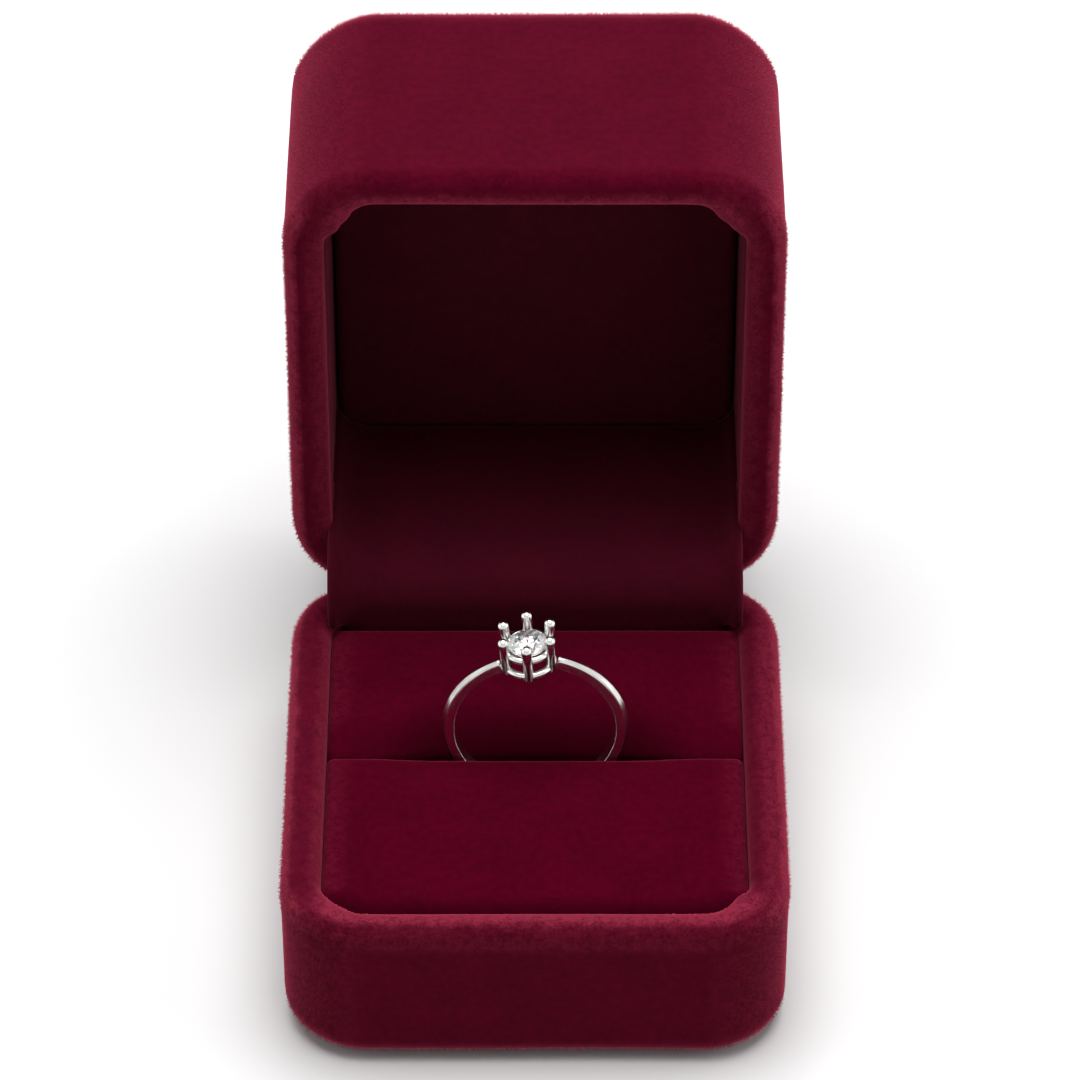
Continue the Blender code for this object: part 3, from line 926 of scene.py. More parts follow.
def grow_strip(path: Sequence[Point], width: float, spacing: float) -> bmesh.types.BMesh:
    """Grows a strip across the box that looks away from the hinge.

    Args:
        path: the strip's points as (y, z), from the base to the lid.
        width: its width.
        spacing: length of the edges across it.

    Returns:
        Its mesh, without thickness.
    """
    bm = bmesh.new()
    corners = [bm.verts.new((side * width / 2, *path[0])) for side in (-1, 1)]
    bmesh.ops.subdivide_edges(bm, edges=[bm.edges.new(corners)], cuts=round(width / spacing))
    growth = Growth(bm, bm.edges[:])
    for near, far in zip(path, path[1:]):
        step = Vector((0.0, far[0] - near[0], far[1] - near[1]))
        growth.grow(lambda point: point + step)
    face_out(bm)
    first = min(bm.faces, key=lambda face: face.calc_center_median().z)
    if first.normal.y > 0:
        bmesh.ops.reverse_faces(bm, faces=bm.faces[:])
    return bm


def shade_as_skin(piece: bpy.types.Object) -> None:
    """Gives loose pile the normals that its nap layer holds, and drops the layer.

    Args:
        piece: the loose pile.
    """
    mesh = piece.data
    layer = mesh.attributes[NAP]
    normals = [tuple(item.vector) for item in layer.data]
    mesh.attributes.remove(layer)
    mesh.normals_split_custom_set_from_vertices(normals)


def fit(piece: bpy.types.Object, body: str, slot: str, *nodes: str) -> bpy.types.Object:
    """Lets a piece ride on a body in place of CAD nodes.

    Args:
        piece: the piece.
        body: the body that it rides on.
        slot: its material slot; not used.
        nodes: the CAD nodes that it stands for.

    Returns:
        The piece.
    """
    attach(piece, body)
    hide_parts(*nodes)
    return piece


@dataclass(frozen=True)
class Gather:
    """A pleat where the velvet bunches at an inside corner."""

    side: int
    end: int
    turn: float
    spread: float
    depth: float

    def at(self, point: Vector, turn: float) -> float:
        """How far the pleat stands in at a point of its corner."""
        here = point.x * self.side >= 0 and point.y * self.end >= 0
        return self.depth * math.exp(-(((turn - self.turn) / self.spread) ** 2)) if here else 0.0


@dataclass(frozen=True)
class PartingAndLight:
    """How far a skin's pile splays, with painted sheen over the rim, in other bands on the right where more
    light falls, and painted shade on the inner walls and along the lid's front rim. Places over and below
    the rim are shares of the wall's thickness.
    """

    left: Point = (0.50, 0.90)
    right: Point = (0.85, 0.40)
    front: Point = (0.12, 0.62)
    side_splay_sheen: float = 0.45
    front_splay_sheen: float = 1.4
    front_edge: float = 0.2
    front_shade: float = 0.0
    rim_splay_sheen: float = 0.12
    edge_splay_sheen: float = 1.4
    edge_reach: Point = (0.07, 0.30)
    bend_splay_sheen: float = 0.25
    inner_shade: float = 0.7
    front_turn: Point = (0.3, 0.9)
    right_turn: Point = (0.2, -0.2)
    rim_reach: Point = (0.4, 0.8)
    inner_reach: Point = (0.8, 0.95)
    wanders: tuple[Point, Point] = ((0.07, 2.6 * MM), (0.06, 0.9 * MM))

    def at(self, point: Vector, inward: Vector, inset: float, below: float) -> float:
        """How far the pile parts at a point near the rim, with painted sheen, or where the value is
        negative, how much shade is painted.

        Args:
            point: the point.
            inward: the level direction from it towards the inside.
            inset: how far inside the outline it lies.
            below: how far below the rim it lies.

        Returns:
            The splay with painted sheen, negative for painted shade.
        """
        # The splay carries painted sheen, in bands that differ on the right and at the front.
        front = smooth_step(*self.front_turn, inward.y)
        right = smooth_step(*self.right_turn, inward.x)
        share = inset + sum(height * noise.noise(point / size) for height, size in self.wanders)
        side = (1.0 - right) * smooth_step(*self.left, share) + right * smooth_step(*self.right, share)
        ahead = smooth_step(*self.front, share)
        parted_sheen = (1.0 - front) * self.side_splay_sheen * side + front * self.front_splay_sheen * ahead
        # Painted sheen along the roll's outer edge.
        edge = self.edge_splay_sheen * (1.0 - (1.0 - self.front_edge) * front)
        edge *= 1.0 - smooth_step(*self.edge_reach, share)
        # Less painted shade along the lid's front rim.
        parted_sheen = max(parted_sheen, edge, self.rim_splay_sheen) - self.front_shade * front * (1.0 - ahead)
        near_rim = 1.0 - smooth_step(*self.rim_reach, below)
        inside = smooth_step(*self.inner_reach, inset)
        # Painted shade on the inner walls, below the rim.
        return near_rim * parted_sheen - self.inner_shade * inside * (1.0 - near_rim)


@dataclass
class Cover:
    """A velvet skin: from its turned-in end over the rim, along the wall and round the closed end."""

    name: str
    body: str
    facing: Facing
    closed_end: float
    rim: float
    turn_in: float
    edge_radius: float
    finish: Velvet
    loose: Velvet
    gathers: Sequence[Gather]
    parting_and_light: PartingAndLight = PartingAndLight()
    outline: Outline = Outline()
    relief: Relief = Relief()
    fuzz: Fuzz = Fuzz()
    hinge: Hinge = Hinge()
    wall: float = 4.0 * MM
    thickness: float = 0.8 * MM
    roll_steps: int = 12
    bend_steps: int = 8
    gather_reach: Point = (0.35, 0.85)
    corner_pull: float = 0.0
    pull_reach: float = 3.0
    rear_fill: float = 0.45 * MM
    rear_fill_reach: float = 12.0 * MM
    turn_under: float = 8.0 * MM
    glue_inset: float = 4.6 * MM
    glue_level: float = 0.8 * MM
    spacing: float = 0.42 * MM
    notch_half: float = 15.4 * MM
    notch_ease: float = 0.9 * MM
    notch_drop: float = 1.4 * MM
    notch_lip: float = 0.3 * MM
    hinge_clear: float = 4.0 * MM
    inner_normal: float = 0.7
    inner_share: float = 0.3
    crest_share: float = 0.3
    crest_reach: float = 0.7 * MM
    fringe_turn: Point = (0.5, 0.95)
    fringe_reach: Point = (1.5 * MM, 5.0 * MM)
    bent_normals: Point = (0.90, 0.9995)
    least_share: float = 0.06

    def section(self, depth: float, spacing: float) -> list[Point]:
        """The skin's section as (inset, z), from the turned-in end to the closed end.

        Args:
            depth: how far below the skin's face the section runs.
            spacing: the wanted length of its steps.

        Returns:
            The section's points.
        """
        up = self.facing.value
        roll = self.wall / 2
        crest = self.rim - up * roll
        bend = self.closed_end + up * self.edge_radius
        over = arc((0, 0), roll - depth, 0, 180, self.roll_steps)
        under = arc((0, 0), self.edge_radius - depth, 180, 270, self.bend_steps)
        path = [(self.wall - depth, self.rim - up * self.turn_in)]
        path += [(roll + x, crest + up * z) for x, z in over]
        path += [(self.edge_radius + x, bend + up * z) for x, z in under]
        if self.facing is Facing.UP:
            level = self.glue_level + depth
            path += [(self.glue_inset, level), (self.turn_under, level)]
        return evenly(path, spacing)

    def follow(self, growth: Growth, path: Sequence[Point]) -> Rows:
        """Grows a row for each step of a path.

        Args:
            growth: what grows.
            path: the path as (inset, z).

        Returns:
            Each row's inset and corners.
        """
        rows = []
        for near, far in zip(path, path[1:]):
            inset, rise = far[0] - near[0], far[1] - near[1]

            def move(point: Vector, inset: float = inset, rise: float = rise) -> Vector:
                """One step along the path."""
                return point + self.outline.inward(point) * inset + Vector((0.0, 0.0, rise))

            rows.append((far[0], growth.grow(move)))
        return rows

    def build(self) -> list[bpy.types.Object]:
        """Models the skin with its loose pile, and puts the skin in place of its CAD node.

        Returns:
            The skin and the pile.
        """
        back = self.section(self.thickness, self.wall)[::-1]
        face = self.section(0.0, self.spacing)
        lid = self.facing is Facing.DOWN
        bm = bmesh.new()
        bm.verts.layers.float.new(SPLAY_AND_LIGHT)
        growth = Growth(bm, self.outline.ring(bm, *back[0], self.spacing))
        hidden = self.follow(growth, back)
        shown = self.follow(growth, [back[-1]] + face)
        corners = [corner for _, row in shown for corner in row]
        if lid:
            bmesh.ops.edgeloop_fill(bm, edges=growth.first)
            middle = Vector((0.0, 0.0, self.closed_end))
            reach = self.outline.width / 2 - self.edge_radius
            corners += growth.close(middle, round(reach / self.spacing), lambda share: 0.0)
        else:
            self.follow(growth, [face[-1], back[0]])
            weld(bm)
        face_out(bm)
        self._paint_splay_and_light(bm, shown)
        self._gather(shown)
        self._pull_corners(corners)
        raise_pile(bm, corners, self.relief)
        self._notch(hidden + shown)
        bm.normal_update()
        roots = list(self._roots(bm, corners))
        if lid:
            self.hinge.open_lid(bm)
            roots = [self.hinge.open_root(root) for root in roots]
        pile = new_piece(self.name + "_pile", self.fuzz.grow(roots), self.loose)
        shade_as_skin(pile)
        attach(pile, self.body)
        piece = new_piece(self.name + "_skin", bm, self.finish)
        return [fit(piece, self.body, "velvet", self.name), pile]

    def below_rim(self, point: Vector) -> float:
        """How far a point lies below the rim, towards the closed end."""
        return self.facing.value * (self.rim - point.z)

    def _turned_in(self, point: Vector) -> bool:
        """Whether a point lies in reach of the rim and of the velvet that turns in there."""
        return self.below_rim(point) < self.turn_in + self.wall

    @property
    def rear_inside(self) -> float:
        """Where the inner side of the rear wall lies."""
        return self.outline.depth / 2 - self.wall - self.thickness

    def _paint_splay_and_light(self, bm: bmesh.types.BMesh, rows: Rows) -> None:
        """Marks how far the pile splays, with painted sheen, and where shade is painted.

        Args:
            bm: the skin's mesh.
            rows: each row's inset and corners.
        """
        splay_and_light = bm.verts.layers.float[SPLAY_AND_LIGHT]
        for inset, row in rows:
            for corner in row:
                if corner.is_valid:
                    corner[splay_and_light] = self._splay_and_light_at(corner.co, inset)

    def _splay_and_light_at(self, point: Vector, inset: float) -> float:
        """How far the pile splays at a point, with painted sheen near the rim and at the bends of the wall.

        Args:
            point: the point.
            inset: how far inside the outline its row lies.

        Returns:
            The splay with painted sheen, negative where shade is painted.
        """
        turn = self.outline.corner_turn(point)
        # Painted sheen at the bends of the wall's corners.
        bend = 0.0 if turn is None else self.parting_and_light.bend_splay_sheen * math.sin(math.radians(2 * turn))
        near = 0.0
        if self._turned_in(point):
            below = self.below_rim(point) / self.wall
            near = self.parting_and_light.at(point, self.outline.inward(point), inset / self.wall, below)
        return near if inset > self.wall / 2 else max(near, bend)

    def _roots(self, bm: bmesh.types.BMesh, corners: Iterable[bmesh.types.BMVert]) -> Iterable[Root]:
        """Finds where loose pile stands: at bends, not inside the box or at the hinge, short on the crest.

        Args:
            bm: the skin's mesh.
            corners: the corners of its face.

        Returns:
            The roots.
        """
        splay_and_light = bm.verts.layers.float[SPLAY_AND_LIGHT]
        reach = self.notch_half + 2 * self.notch_ease
        for corner in corners:
            if not corner.is_valid:
                continue
            below = self.below_rim(corner.co)
            at_rear = corner.co.y > self.rear_inside
            at_hinge = at_rear and abs(corner.co.x) < reach and below < self.hinge_clear
            inward = self.outline.inward(corner.co)
            inside = inward.dot(corner.normal)
            level = max(abs(part) for part in corner.normal)
            bent = 1.0 - smooth_step(*self.bent_normals, level)
            fringe = smooth_step(*self.fringe_turn, abs(inward.x))
            share = max(bent, fringe * (1.0 - smooth_step(*self.fringe_reach, below)))
            share *= 1.0 - (1.0 - self.inner_share) * smooth_step(0.0, self.inner_normal, inside)
            share *= self.crest_share + (1 - self.crest_share) * smooth_step(0.0, self.crest_reach, below)
            share = min(share, (corner.co.z - self.fuzz.scatter) / self.fuzz.length)
            if share > self.least_share and not (at_hinge or inside > self.inner_normal):
                yield Root(corner.co.copy(), corner.normal.copy(), share, corner[splay_and_light])

    def _gather(self, rows: Rows) -> None:
        """Bunches the velvet at the inside corners.

        Args:
            rows: each row's inset and corners.
        """
        for inset, row in rows:
            weight = smooth_step(*self.gather_reach, inset / self.wall)
            for corner in row if weight > 0 else ():
                turn = self.outline.corner_turn(corner.co) if corner.is_valid else None
                if turn is not None and self._turned_in(corner.co):
                    depth = sum(pleat.at(corner.co, turn) for pleat in self.gathers)
                    corner.co += self.outline.inward(corner.co) * depth * weight

    def _pull_corners(self, corners: Iterable[bmesh.types.BMVert]) -> None:
        """Rounds the closed end's corners as stretched velvet does, and fills the rim's by the hinge.

        Args:
            corners: the corners of the skin's face.
        """
        reach = self.pull_reach * self.edge_radius
        for corner in corners:
            turn = self.outline.corner_turn(corner.co) if corner.is_valid else None
            if turn is not None:
                near = self.facing.value * (corner.co.z - self.closed_end)
                pull = self.corner_pull * (1.0 - smooth_step(0.0, reach, near))
                if corner.co.y > 0:
                    below = self.below_rim(corner.co)
                    pull -= self.rear_fill * (1.0 - smooth_step(0.0, self.rear_fill_reach, below))
                corner.co += self.outline.inward(corner.co) * pull * math.sin(math.radians(2 * turn)) ** 2

    def _notch(self, rows: Rows) -> None:
        """Presses the rim flat under the hinge's barrel and ends the turned-in velvet there.

        Args:
            rows: each row's inset and corners.
        """
        up = self.facing.value
        sill = self.hinge.z - up * self.notch_drop
        end = self.notch_half + self.notch_ease
        for inset, row in rows:
            inner = inset > self.wall - 2 * self.thickness
            for corner in row:
                if not corner.is_valid or corner.co.y < self.rear_inside:
                    continue
                share = 1.0 - smooth_step(self.notch_half, end, abs(corner.co.x))
                above = up * (corner.co.z - sill)
                if above > 0:
                    corner.co.z -= up * above * share
                elif inner and above < -self.notch_lip and self._turned_in(corner.co):
                    corner.co.z -= up * (above + self.notch_lip) * share


@dataclass
class Pad:
    """A foam pad under tight velvet: straight skirts, rolled edges and a slightly crowned face."""

    name: str
    body: str
    slot: str
    size: tuple[float, float, float]
    radii: tuple[float, float, float, float]
    place: Matrix
    finish: Velvet
    press: Callable[[Vector], tuple[Vector, float]] | None = None
    fill: float = 0.9
    crown: float = 0.30 * MM
    crown_power: float = 2.5
    edge_radius: float = 0.85 * MM
    edge_steps: int = 6
    corner_steps: int = 10
    thickness: float = 0.8 * MM
    spacing: float = 0.42 * MM
    relief: Relief = Relief(0.05 * MM, 7.0 * MM, 0.022 * MM, 1.6 * MM, 0.022 * MM, 0.55 * MM)

    def build(self) -> bpy.types.Object:
        """Models the pad's velvet cap and puts it in place of its CAD node.

        Returns:
            The cap.
        """
        width, depth, height = self.size
        edge = height - self.edge_radius
        bend = arc((0, 0), self.edge_radius, 0, 90, self.edge_steps)
        roll = [(self.edge_radius - x, edge + z) for x, z in bend]
        back = [(self.thickness, height - self.thickness), (self.thickness, 0.0)]
        face = evenly([(0.0, 0.0)] + roll, self.spacing)
        bm = bmesh.new()
        bm.verts.layers.float.new(SPLAY_AND_LIGHT)
        inner = (width - 2 * self.thickness, depth - 2 * self.thickness)
        start = Vector((0.0, 0.0, back[0][1]))
        ring = rounded_ring(bm, inner, self.radii, self.corner_steps, self.spacing, start)
        growth = Growth(bm, ring)
        bmesh.ops.edgeloop_fill(bm, edges=growth.first)
        path = back + face
        corners = []
        for near, far in zip(path, path[1:]):
            sides = [(side - 2 * far[0]) / (side - 2 * near[0]) for side in (width, depth)]
            stretch = Vector((*sides, 1.0))
            rise = far[1] - near[1]
            corners += growth.grow(lambda point: point * stretch + Vector((0.0, 0.0, rise)))
        middle = Vector((0.0, 0.0, height))
        rings = round((min(width, depth) / 2 - self.edge_radius) / self.spacing)
        corners += growth.close(middle, rings, self._lift)
        face_out(bm)
        raise_pile(bm, corners, self.relief)
        bmesh.ops.transform(bm, matrix=self.place, verts=bm.verts[:])
        self._press(bm)
        piece = fit(new_piece(self.name + "_pad", bm, self.finish), self.body, self.slot, self.name)
        return piece

    def _press(self, bm: bmesh.types.BMesh) -> None:
        """Presses the pad in where its neighbours do, and marks painted shade there, or painted highlight
        where the value is negative.

        Args:
            bm: the pad's mesh.
        """
        splay_and_light = bm.verts.layers.float[SPLAY_AND_LIGHT]
        for corner in bm.verts if self.press else ():
            corner.co, painted_shade = self.press(corner.co)
            corner[splay_and_light] = -painted_shade

    def _lift(self, share: float) -> float:
        """Height of the crown at a share of the way in."""
        return self.crown * (1.0 - (1.0 - share) ** self.crown_power)


@dataclass
class BaseBox:
    """The base: skin, bottom patch, pads and what they hide."""

    skin: Velvet
    loose: Velvet
    pile: Velvet
    plastic: Finish
    board: Finish
    foam: Finish
    outline: Outline = Outline()
    bottom: float = 0.35 * MM
    rim: float = 18.2 * MM
    turn_in: float = 9.0 * MM
    edge_radius: float = 3.2 * MM
    gathers: tuple[Gather, ...] = (
        Gather(1, -1, 44.0, 24.0, 0.60 * MM),
        Gather(1, -1, 36.0, 9.0, 0.25 * MM),
        Gather(-1, -1, 45.0, 24.0, 0.35 * MM),
        Gather(-1, -1, 62.0, 9.0, 0.12 * MM),
        Gather(1, 1, 45.0, 12.0, 0.25 * MM),
        Gather(-1, 1, 45.0, 12.0, 0.25 * MM),
    )
    pad_crown: float = 0.30 * MM
    pad_swell: float = 0.27 * MM
    rear_tuck: float = 1.6
    pad_corner: float = 4.3 * MM
    lip_corner: float = 0.7 * MM
    rear_corner: float = 0.5 * MM
    edge_dip: float = 1.1 * MM
    edge_reach: float = 3.2 * MM
    front_turn: Point = (0.1, 0.7)
    slit_half: float = 9.5 * MM
    slit_ease: float = 8.0 * MM
    slit_close: float = 1.85 * MM
    lip_close: float = 0.35 * MM
    slit_reach: float = 4.5 * MM
    ring_reach: float = 8.0 * MM
    # Painted shade in the slit, and painted highlight by the side walls and on the lip, as shares of the
    # splay value.
    slit_shade: Point = (0.4, 0.6)
    slit_dip: float = 0.5 * MM
    ring_dip: float = 1.1 * MM
    side_reach: float = 3.2 * MM
    side_highlight: float = 0.20
    lip_reach: float = 0.6 * MM
    lip_highlight: float = 0.30
    foam_sink: float = 1.3 * MM
    patch_inset: float = 5.0 * MM
    patch_thickness: float = 0.6 * MM
    patch_ease: float = 0.2 * MM
    patch_spacing: float = 1.2 * MM
    patch_rings: int = 18

    def build(self) -> list[bpy.types.Object]:
        """Builds and dresses the base's pieces.

        Returns:
            The pieces.
        """
        cover = Cover(
            "base_cover", "base", Facing.UP, self.bottom, self.rim, self.turn_in, self.edge_radius,
            self.skin, self.loose, self.gathers,
        )
        front_radii = (self.pad_corner, self.pad_corner, self.lip_corner, self.lip_corner)
        rear_radii = (self.lip_corner, self.lip_corner, self.rear_corner, self.rear_corner)
        pieces = [*cover.build(), self._patch()]
        pieces.append(self._pad("front_pad_velvet", front_radii, self._press_front))
        pieces.append(self._pad("rear_pad_velvet", rear_radii, self._press_rear))
        pieces.append(soft_copy("pad_foam", "base", "foam", self.foam, self.foam_sink))
        pieces += dress_nodes(self.plastic, "base_core")
        return pieces + dress_nodes(self.board, "insert_board")

    def _pad(
        self,
        name: str,
        radii: tuple[float, float, float, float],
        press: Callable[[Vector], tuple[Vector, float]],
    ) -> bpy.types.Object:
        """Builds one of the two pads beside the slit, in its CAD node's place.

        Args:
            name: the CAD node.
            radii: the pad's corner radii, front left, front right, rear left and rear right.
            press: how its neighbours press it, and where shade or highlight is painted.

        Returns:
            The pad's velvet.
        """
        low, high = node_box(name)
        front = low.y < 0
        ahead, behind = (self.pad_swell, 0.0) if front else (0.0, self.rear_tuck * self.pad_swell)
        low = low - Vector((self.pad_swell, ahead, 0.0))
        high = high + Vector((self.pad_swell, behind, 0.0))
        size = (high.x - low.x, high.y - low.y, high.z - low.z - self.pad_crown)
        place = Matrix.Translation(Vector(((low.x + high.x) / 2, (low.y + high.y) / 2, low.z)))
        pad = Pad(name, "base", "pad_velvet", size, radii, place, self.pile, press, crown=self.pad_crown)
        return pad.build()

    def _by_ring(self, point: Vector) -> float:
        """How near a point is to the stretch of the slit that the ring holds open, from 0 to 1."""
        return 1.0 - smooth_step(self.slit_half, self.slit_half + self.slit_ease, abs(point.x))

    def _side_highlight(self, point: Vector) -> float:
        """How much highlight is painted on a pad at a point near the side walls."""
        edge = node_box("front_pad_velvet")[1].x
        return self.side_highlight * (1.0 - smooth_step(0.0, self.side_reach, edge - abs(point.x)))

    def _press_front(self, point: Vector) -> tuple[Vector, float]:
        """Dips the front pad towards the front rim, and closes its lip over the ends of the slit.

        Args:
            point: a point of the pad.

        Returns:
            The pressed point, and its painted shade by the front rim, less the painted highlight by the side
            walls and on the lip.
        """
        low, high = node_box("front_pad_velvet")
        wall = self.outline.inset(Vector((0.0, low.y, 0.0)))
        front = smooth_step(*self.front_turn, self.outline.inward(point).y)
        inset = self.outline.inset(point)
        near = front * (1.0 - smooth_step(wall - self.pad_swell, wall + self.edge_reach, inset))
        behind = high.y - point.y
        close = self.lip_close * (1.0 - smooth_step(0.0, self.slit_reach, behind))
        close *= 1.0 - self._by_ring(point)
        lip = self.lip_highlight * (1.0 - smooth_step(0.0, self.lip_reach, behind))
        # Painted shade by the front rim, less painted highlight by the side walls and on the lip.
        shade_less_highlight = near - max(self._side_highlight(point), lip)
        return point + Vector((0.0, close, -self.edge_dip * near * near)), shade_less_highlight

    def _press_rear(self, point: Vector) -> tuple[Vector, float]:
        """Rolls the rear pad down into the slit by the ring, and closes the slit's ends.

        Args:
            point: a point of the pad.

        Returns:
            The pressed point, and its painted shade in the slit and by the ring, less the painted highlight
            by the side walls.
        """
        edge = node_box("rear_pad_velvet")[0].y
        by_ring = self._by_ring(point)
        reach = self.slit_reach + (self.ring_reach - self.slit_reach) * by_ring
        near = 1.0 - smooth_step(0.0, reach, point.y - edge)
        close = -self.slit_close * near * (1.0 - by_ring)
        dip = -(self.slit_dip + self.ring_dip * by_ring) * near * near
        everywhere, at_ring = self.slit_shade
        # Painted shade in the slit and by the ring, less painted highlight by the side walls.
        shade_less_highlight = near * (everywhere + at_ring * by_ring) - self._side_highlight(point)
        return point + Vector((0.0, close, dip)), shade_less_highlight

    def _patch(self) -> bpy.types.Object:
        """Models the flocked panel under the base, with softened edges.

        Returns:
            The panel.
        """
        ease = self.patch_ease
        bm = bmesh.new()
        ring = self.outline.ring(bm, self.patch_inset, self.patch_thickness, self.patch_spacing)
        growth = Growth(bm, ring)
        bmesh.ops.edgeloop_fill(bm, edges=growth.first)
        growth.grow(lambda point: Vector((point.x, point.y, ease)))
        growth.grow(lambda point: point + self.outline.inward(point) * ease - Vector((0.0, 0.0, ease)))
        growth.close(Vector((0.0, 0.0, 0.0)), self.patch_rings, lambda share: 0.0)
        face_out(bm)
        piece = new_piece("bottom_patch_flock", bm, self.pile, False)
        return fit(piece, "base", "patch_velvet", "bottom_patch")


def soft_copy(node: str, body: str, slot: str, finish: Finish, sink: float = 0.0) -> bpy.types.Object:
    """Makes a foam block with the form of its CAD node.

    Args:
        node: the CAD node.
        body: the body that it rides on.
        slot: its material slot.
        finish: what it is made of.
        sink: how far the velvet over it presses its top down.

    Returns:
        The block.
    """
    bm = bmesh.new()
    bm.from_mesh(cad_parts[node].data)
    weld(bm)
    bmesh.ops.dissolve_limit(bm, angle_limit=math.radians(1.0), verts=bm.verts[:], edges=bm.edges[:])
    pressed = node_box(node)[1].z - sink
    upper = [corner for corner in bm.verts if corner.co.z > pressed]
    bmesh.ops.translate(bm, vec=(0.0, 0.0, -sink), verts=upper)
    return fit(new_piece(node + "_block", bm, finish, False), body, slot, node)


@dataclass
class LidBox:
    """The lid: skin, wall lining, padded ceiling panel and what they hide."""

    skin: Velvet
    loose: Velvet
    lining: Velvet
    plastic: Finish
    board: Finish
    foam: Finish
    outline: Outline = Outline()
    skin_outline: Outline = Outline(corner=9.4 * MM)
    hinge: Hinge = Hinge()
    top: float = 50.4 * MM
    rim: float = 18.5 * MM
    turn_in: float = 8.0 * MM
    edge_radius: float = 4.4 * MM
    corner_pull: float = 0.3 * MM
    parting_and_light: PartingAndLight = PartingAndLight(
        left=(0.35, 0.85), right=(0.35, 0.85), front=(0.25, 0.80), front_splay_sheen=1.0, front_edge=0.0,
        front_shade=0.25, rim_splay_sheen=0.0, edge_reach=(0.10, 0.38), bend_splay_sheen=0.15,
    )
    gathers: tuple[Gather, ...] = (
        Gather(-1, -1, 40.0, 24.0, 0.95 * MM),
        Gather(-1, -1, 28.0, 8.0, 0.30 * MM),
        Gather(-1, -1, 54.0, 8.0, 0.22 * MM),
        Gather(1, -1, 44.0, 25.0, 0.95 * MM),
        Gather(1, -1, 60.0, 9.0, 0.25 * MM),
        Gather(1, -1, 30.0, 8.0, 0.20 * MM),
        Gather(1, 1, 45.0, 12.0, 0.25 * MM),
        Gather(-1, 1, 45.0, 12.0, 0.25 * MM),
    )
    lining_back: float = 3.2 * MM
    lining_face: float = 3.95 * MM
    lining_low: float = 26.6 * MM
    lining_high: float = 47.4 * MM
    lining_spacing: float = 0.5 * MM
    lining_relief: Relief = Relief(0.0, 9.0 * MM, 0.02 * MM, 1.6 * MM, 0.02 * MM)
    panel_crown: float = 0.30 * MM
    panel_corner: float = 4.3 * MM
    panel_foot_corner: float = 0.9 * MM

    def build(self) -> list[bpy.types.Object]:
        """Builds and dresses the lid's pieces.

        Returns:
            The pieces.
        """
        cover = Cover(
            "lid_cover", "lid", Facing.DOWN, self.top, self.rim, self.turn_in, self.edge_radius,
            self.skin, self.loose, self.gathers, self.parting_and_light, self.skin_outline,
            corner_pull=self.corner_pull,
        )
        pieces = [*cover.build(), self._wall_lining(), self._panel()]
        pieces.append(soft_copy("lid_panel_foam", "lid", "foam", self.foam))
        pieces += dress_nodes(self.plastic, "lid_core")
        return pieces + dress_nodes(self.board, "lid_panel_card")

    def _wall_lining(self) -> bpy.types.Object:
        """Models the velvet strip on the lid's inner walls.

        Returns:
            The strip.
        """
        near, far, low, high = self.lining_back, self.lining_face, self.lining_low, self.lining_high
        bm = bmesh.new()
        growth = Growth(bm, self.outline.ring(bm, near, low, self.lining_spacing))
        path = [(near, low), (near, high), (far, high)]
        path += evenly([(far, high), (far, low)], self.lining_spacing)[1:] + [(near, low)]
        corners = []
        for start, end in zip(path, path[1:]):
            step, rise = end[0] - start[0], Vector((0.0, 0.0, end[1] - start[1]))
            corners += growth.grow(lambda point: point + self.outline.inward(point) * step + rise)
        weld(bm)
        face_out(bm)
        raise_pile(bm, corners, self.lining_relief)
        self.hinge.open_lid(bm)
        piece = new_piece("lid_lining_strip", bm, self.lining)
        return fit(piece, "lid", "lining_velvet", "lid_lining")

    def _panel(self) -> bpy.types.Object:
        """Models the padded panel in the lid's ceiling, square where the curtain meets it.

        Returns:
            The panel's velvet.
        """
        low, high = node_box("lid_panel_velvet")
        size = (high.x - low.x, high.z - low.z, high.y - low.y - self.panel_crown)
        middle = Matrix.Translation(Vector((0.0, high.y, (low.z + high.z) / 2)))
        place = middle @ Matrix.Rotation(math.pi / 2, 4, "X")
        foot, top = self.panel_foot_corner, self.panel_corner
        pad = Pad(
            "lid_panel_velvet", "lid", "lining_velvet", size, (foot, foot, top, top), place,
            self.lining, crown=self.panel_crown,
        )
        return pad.build()


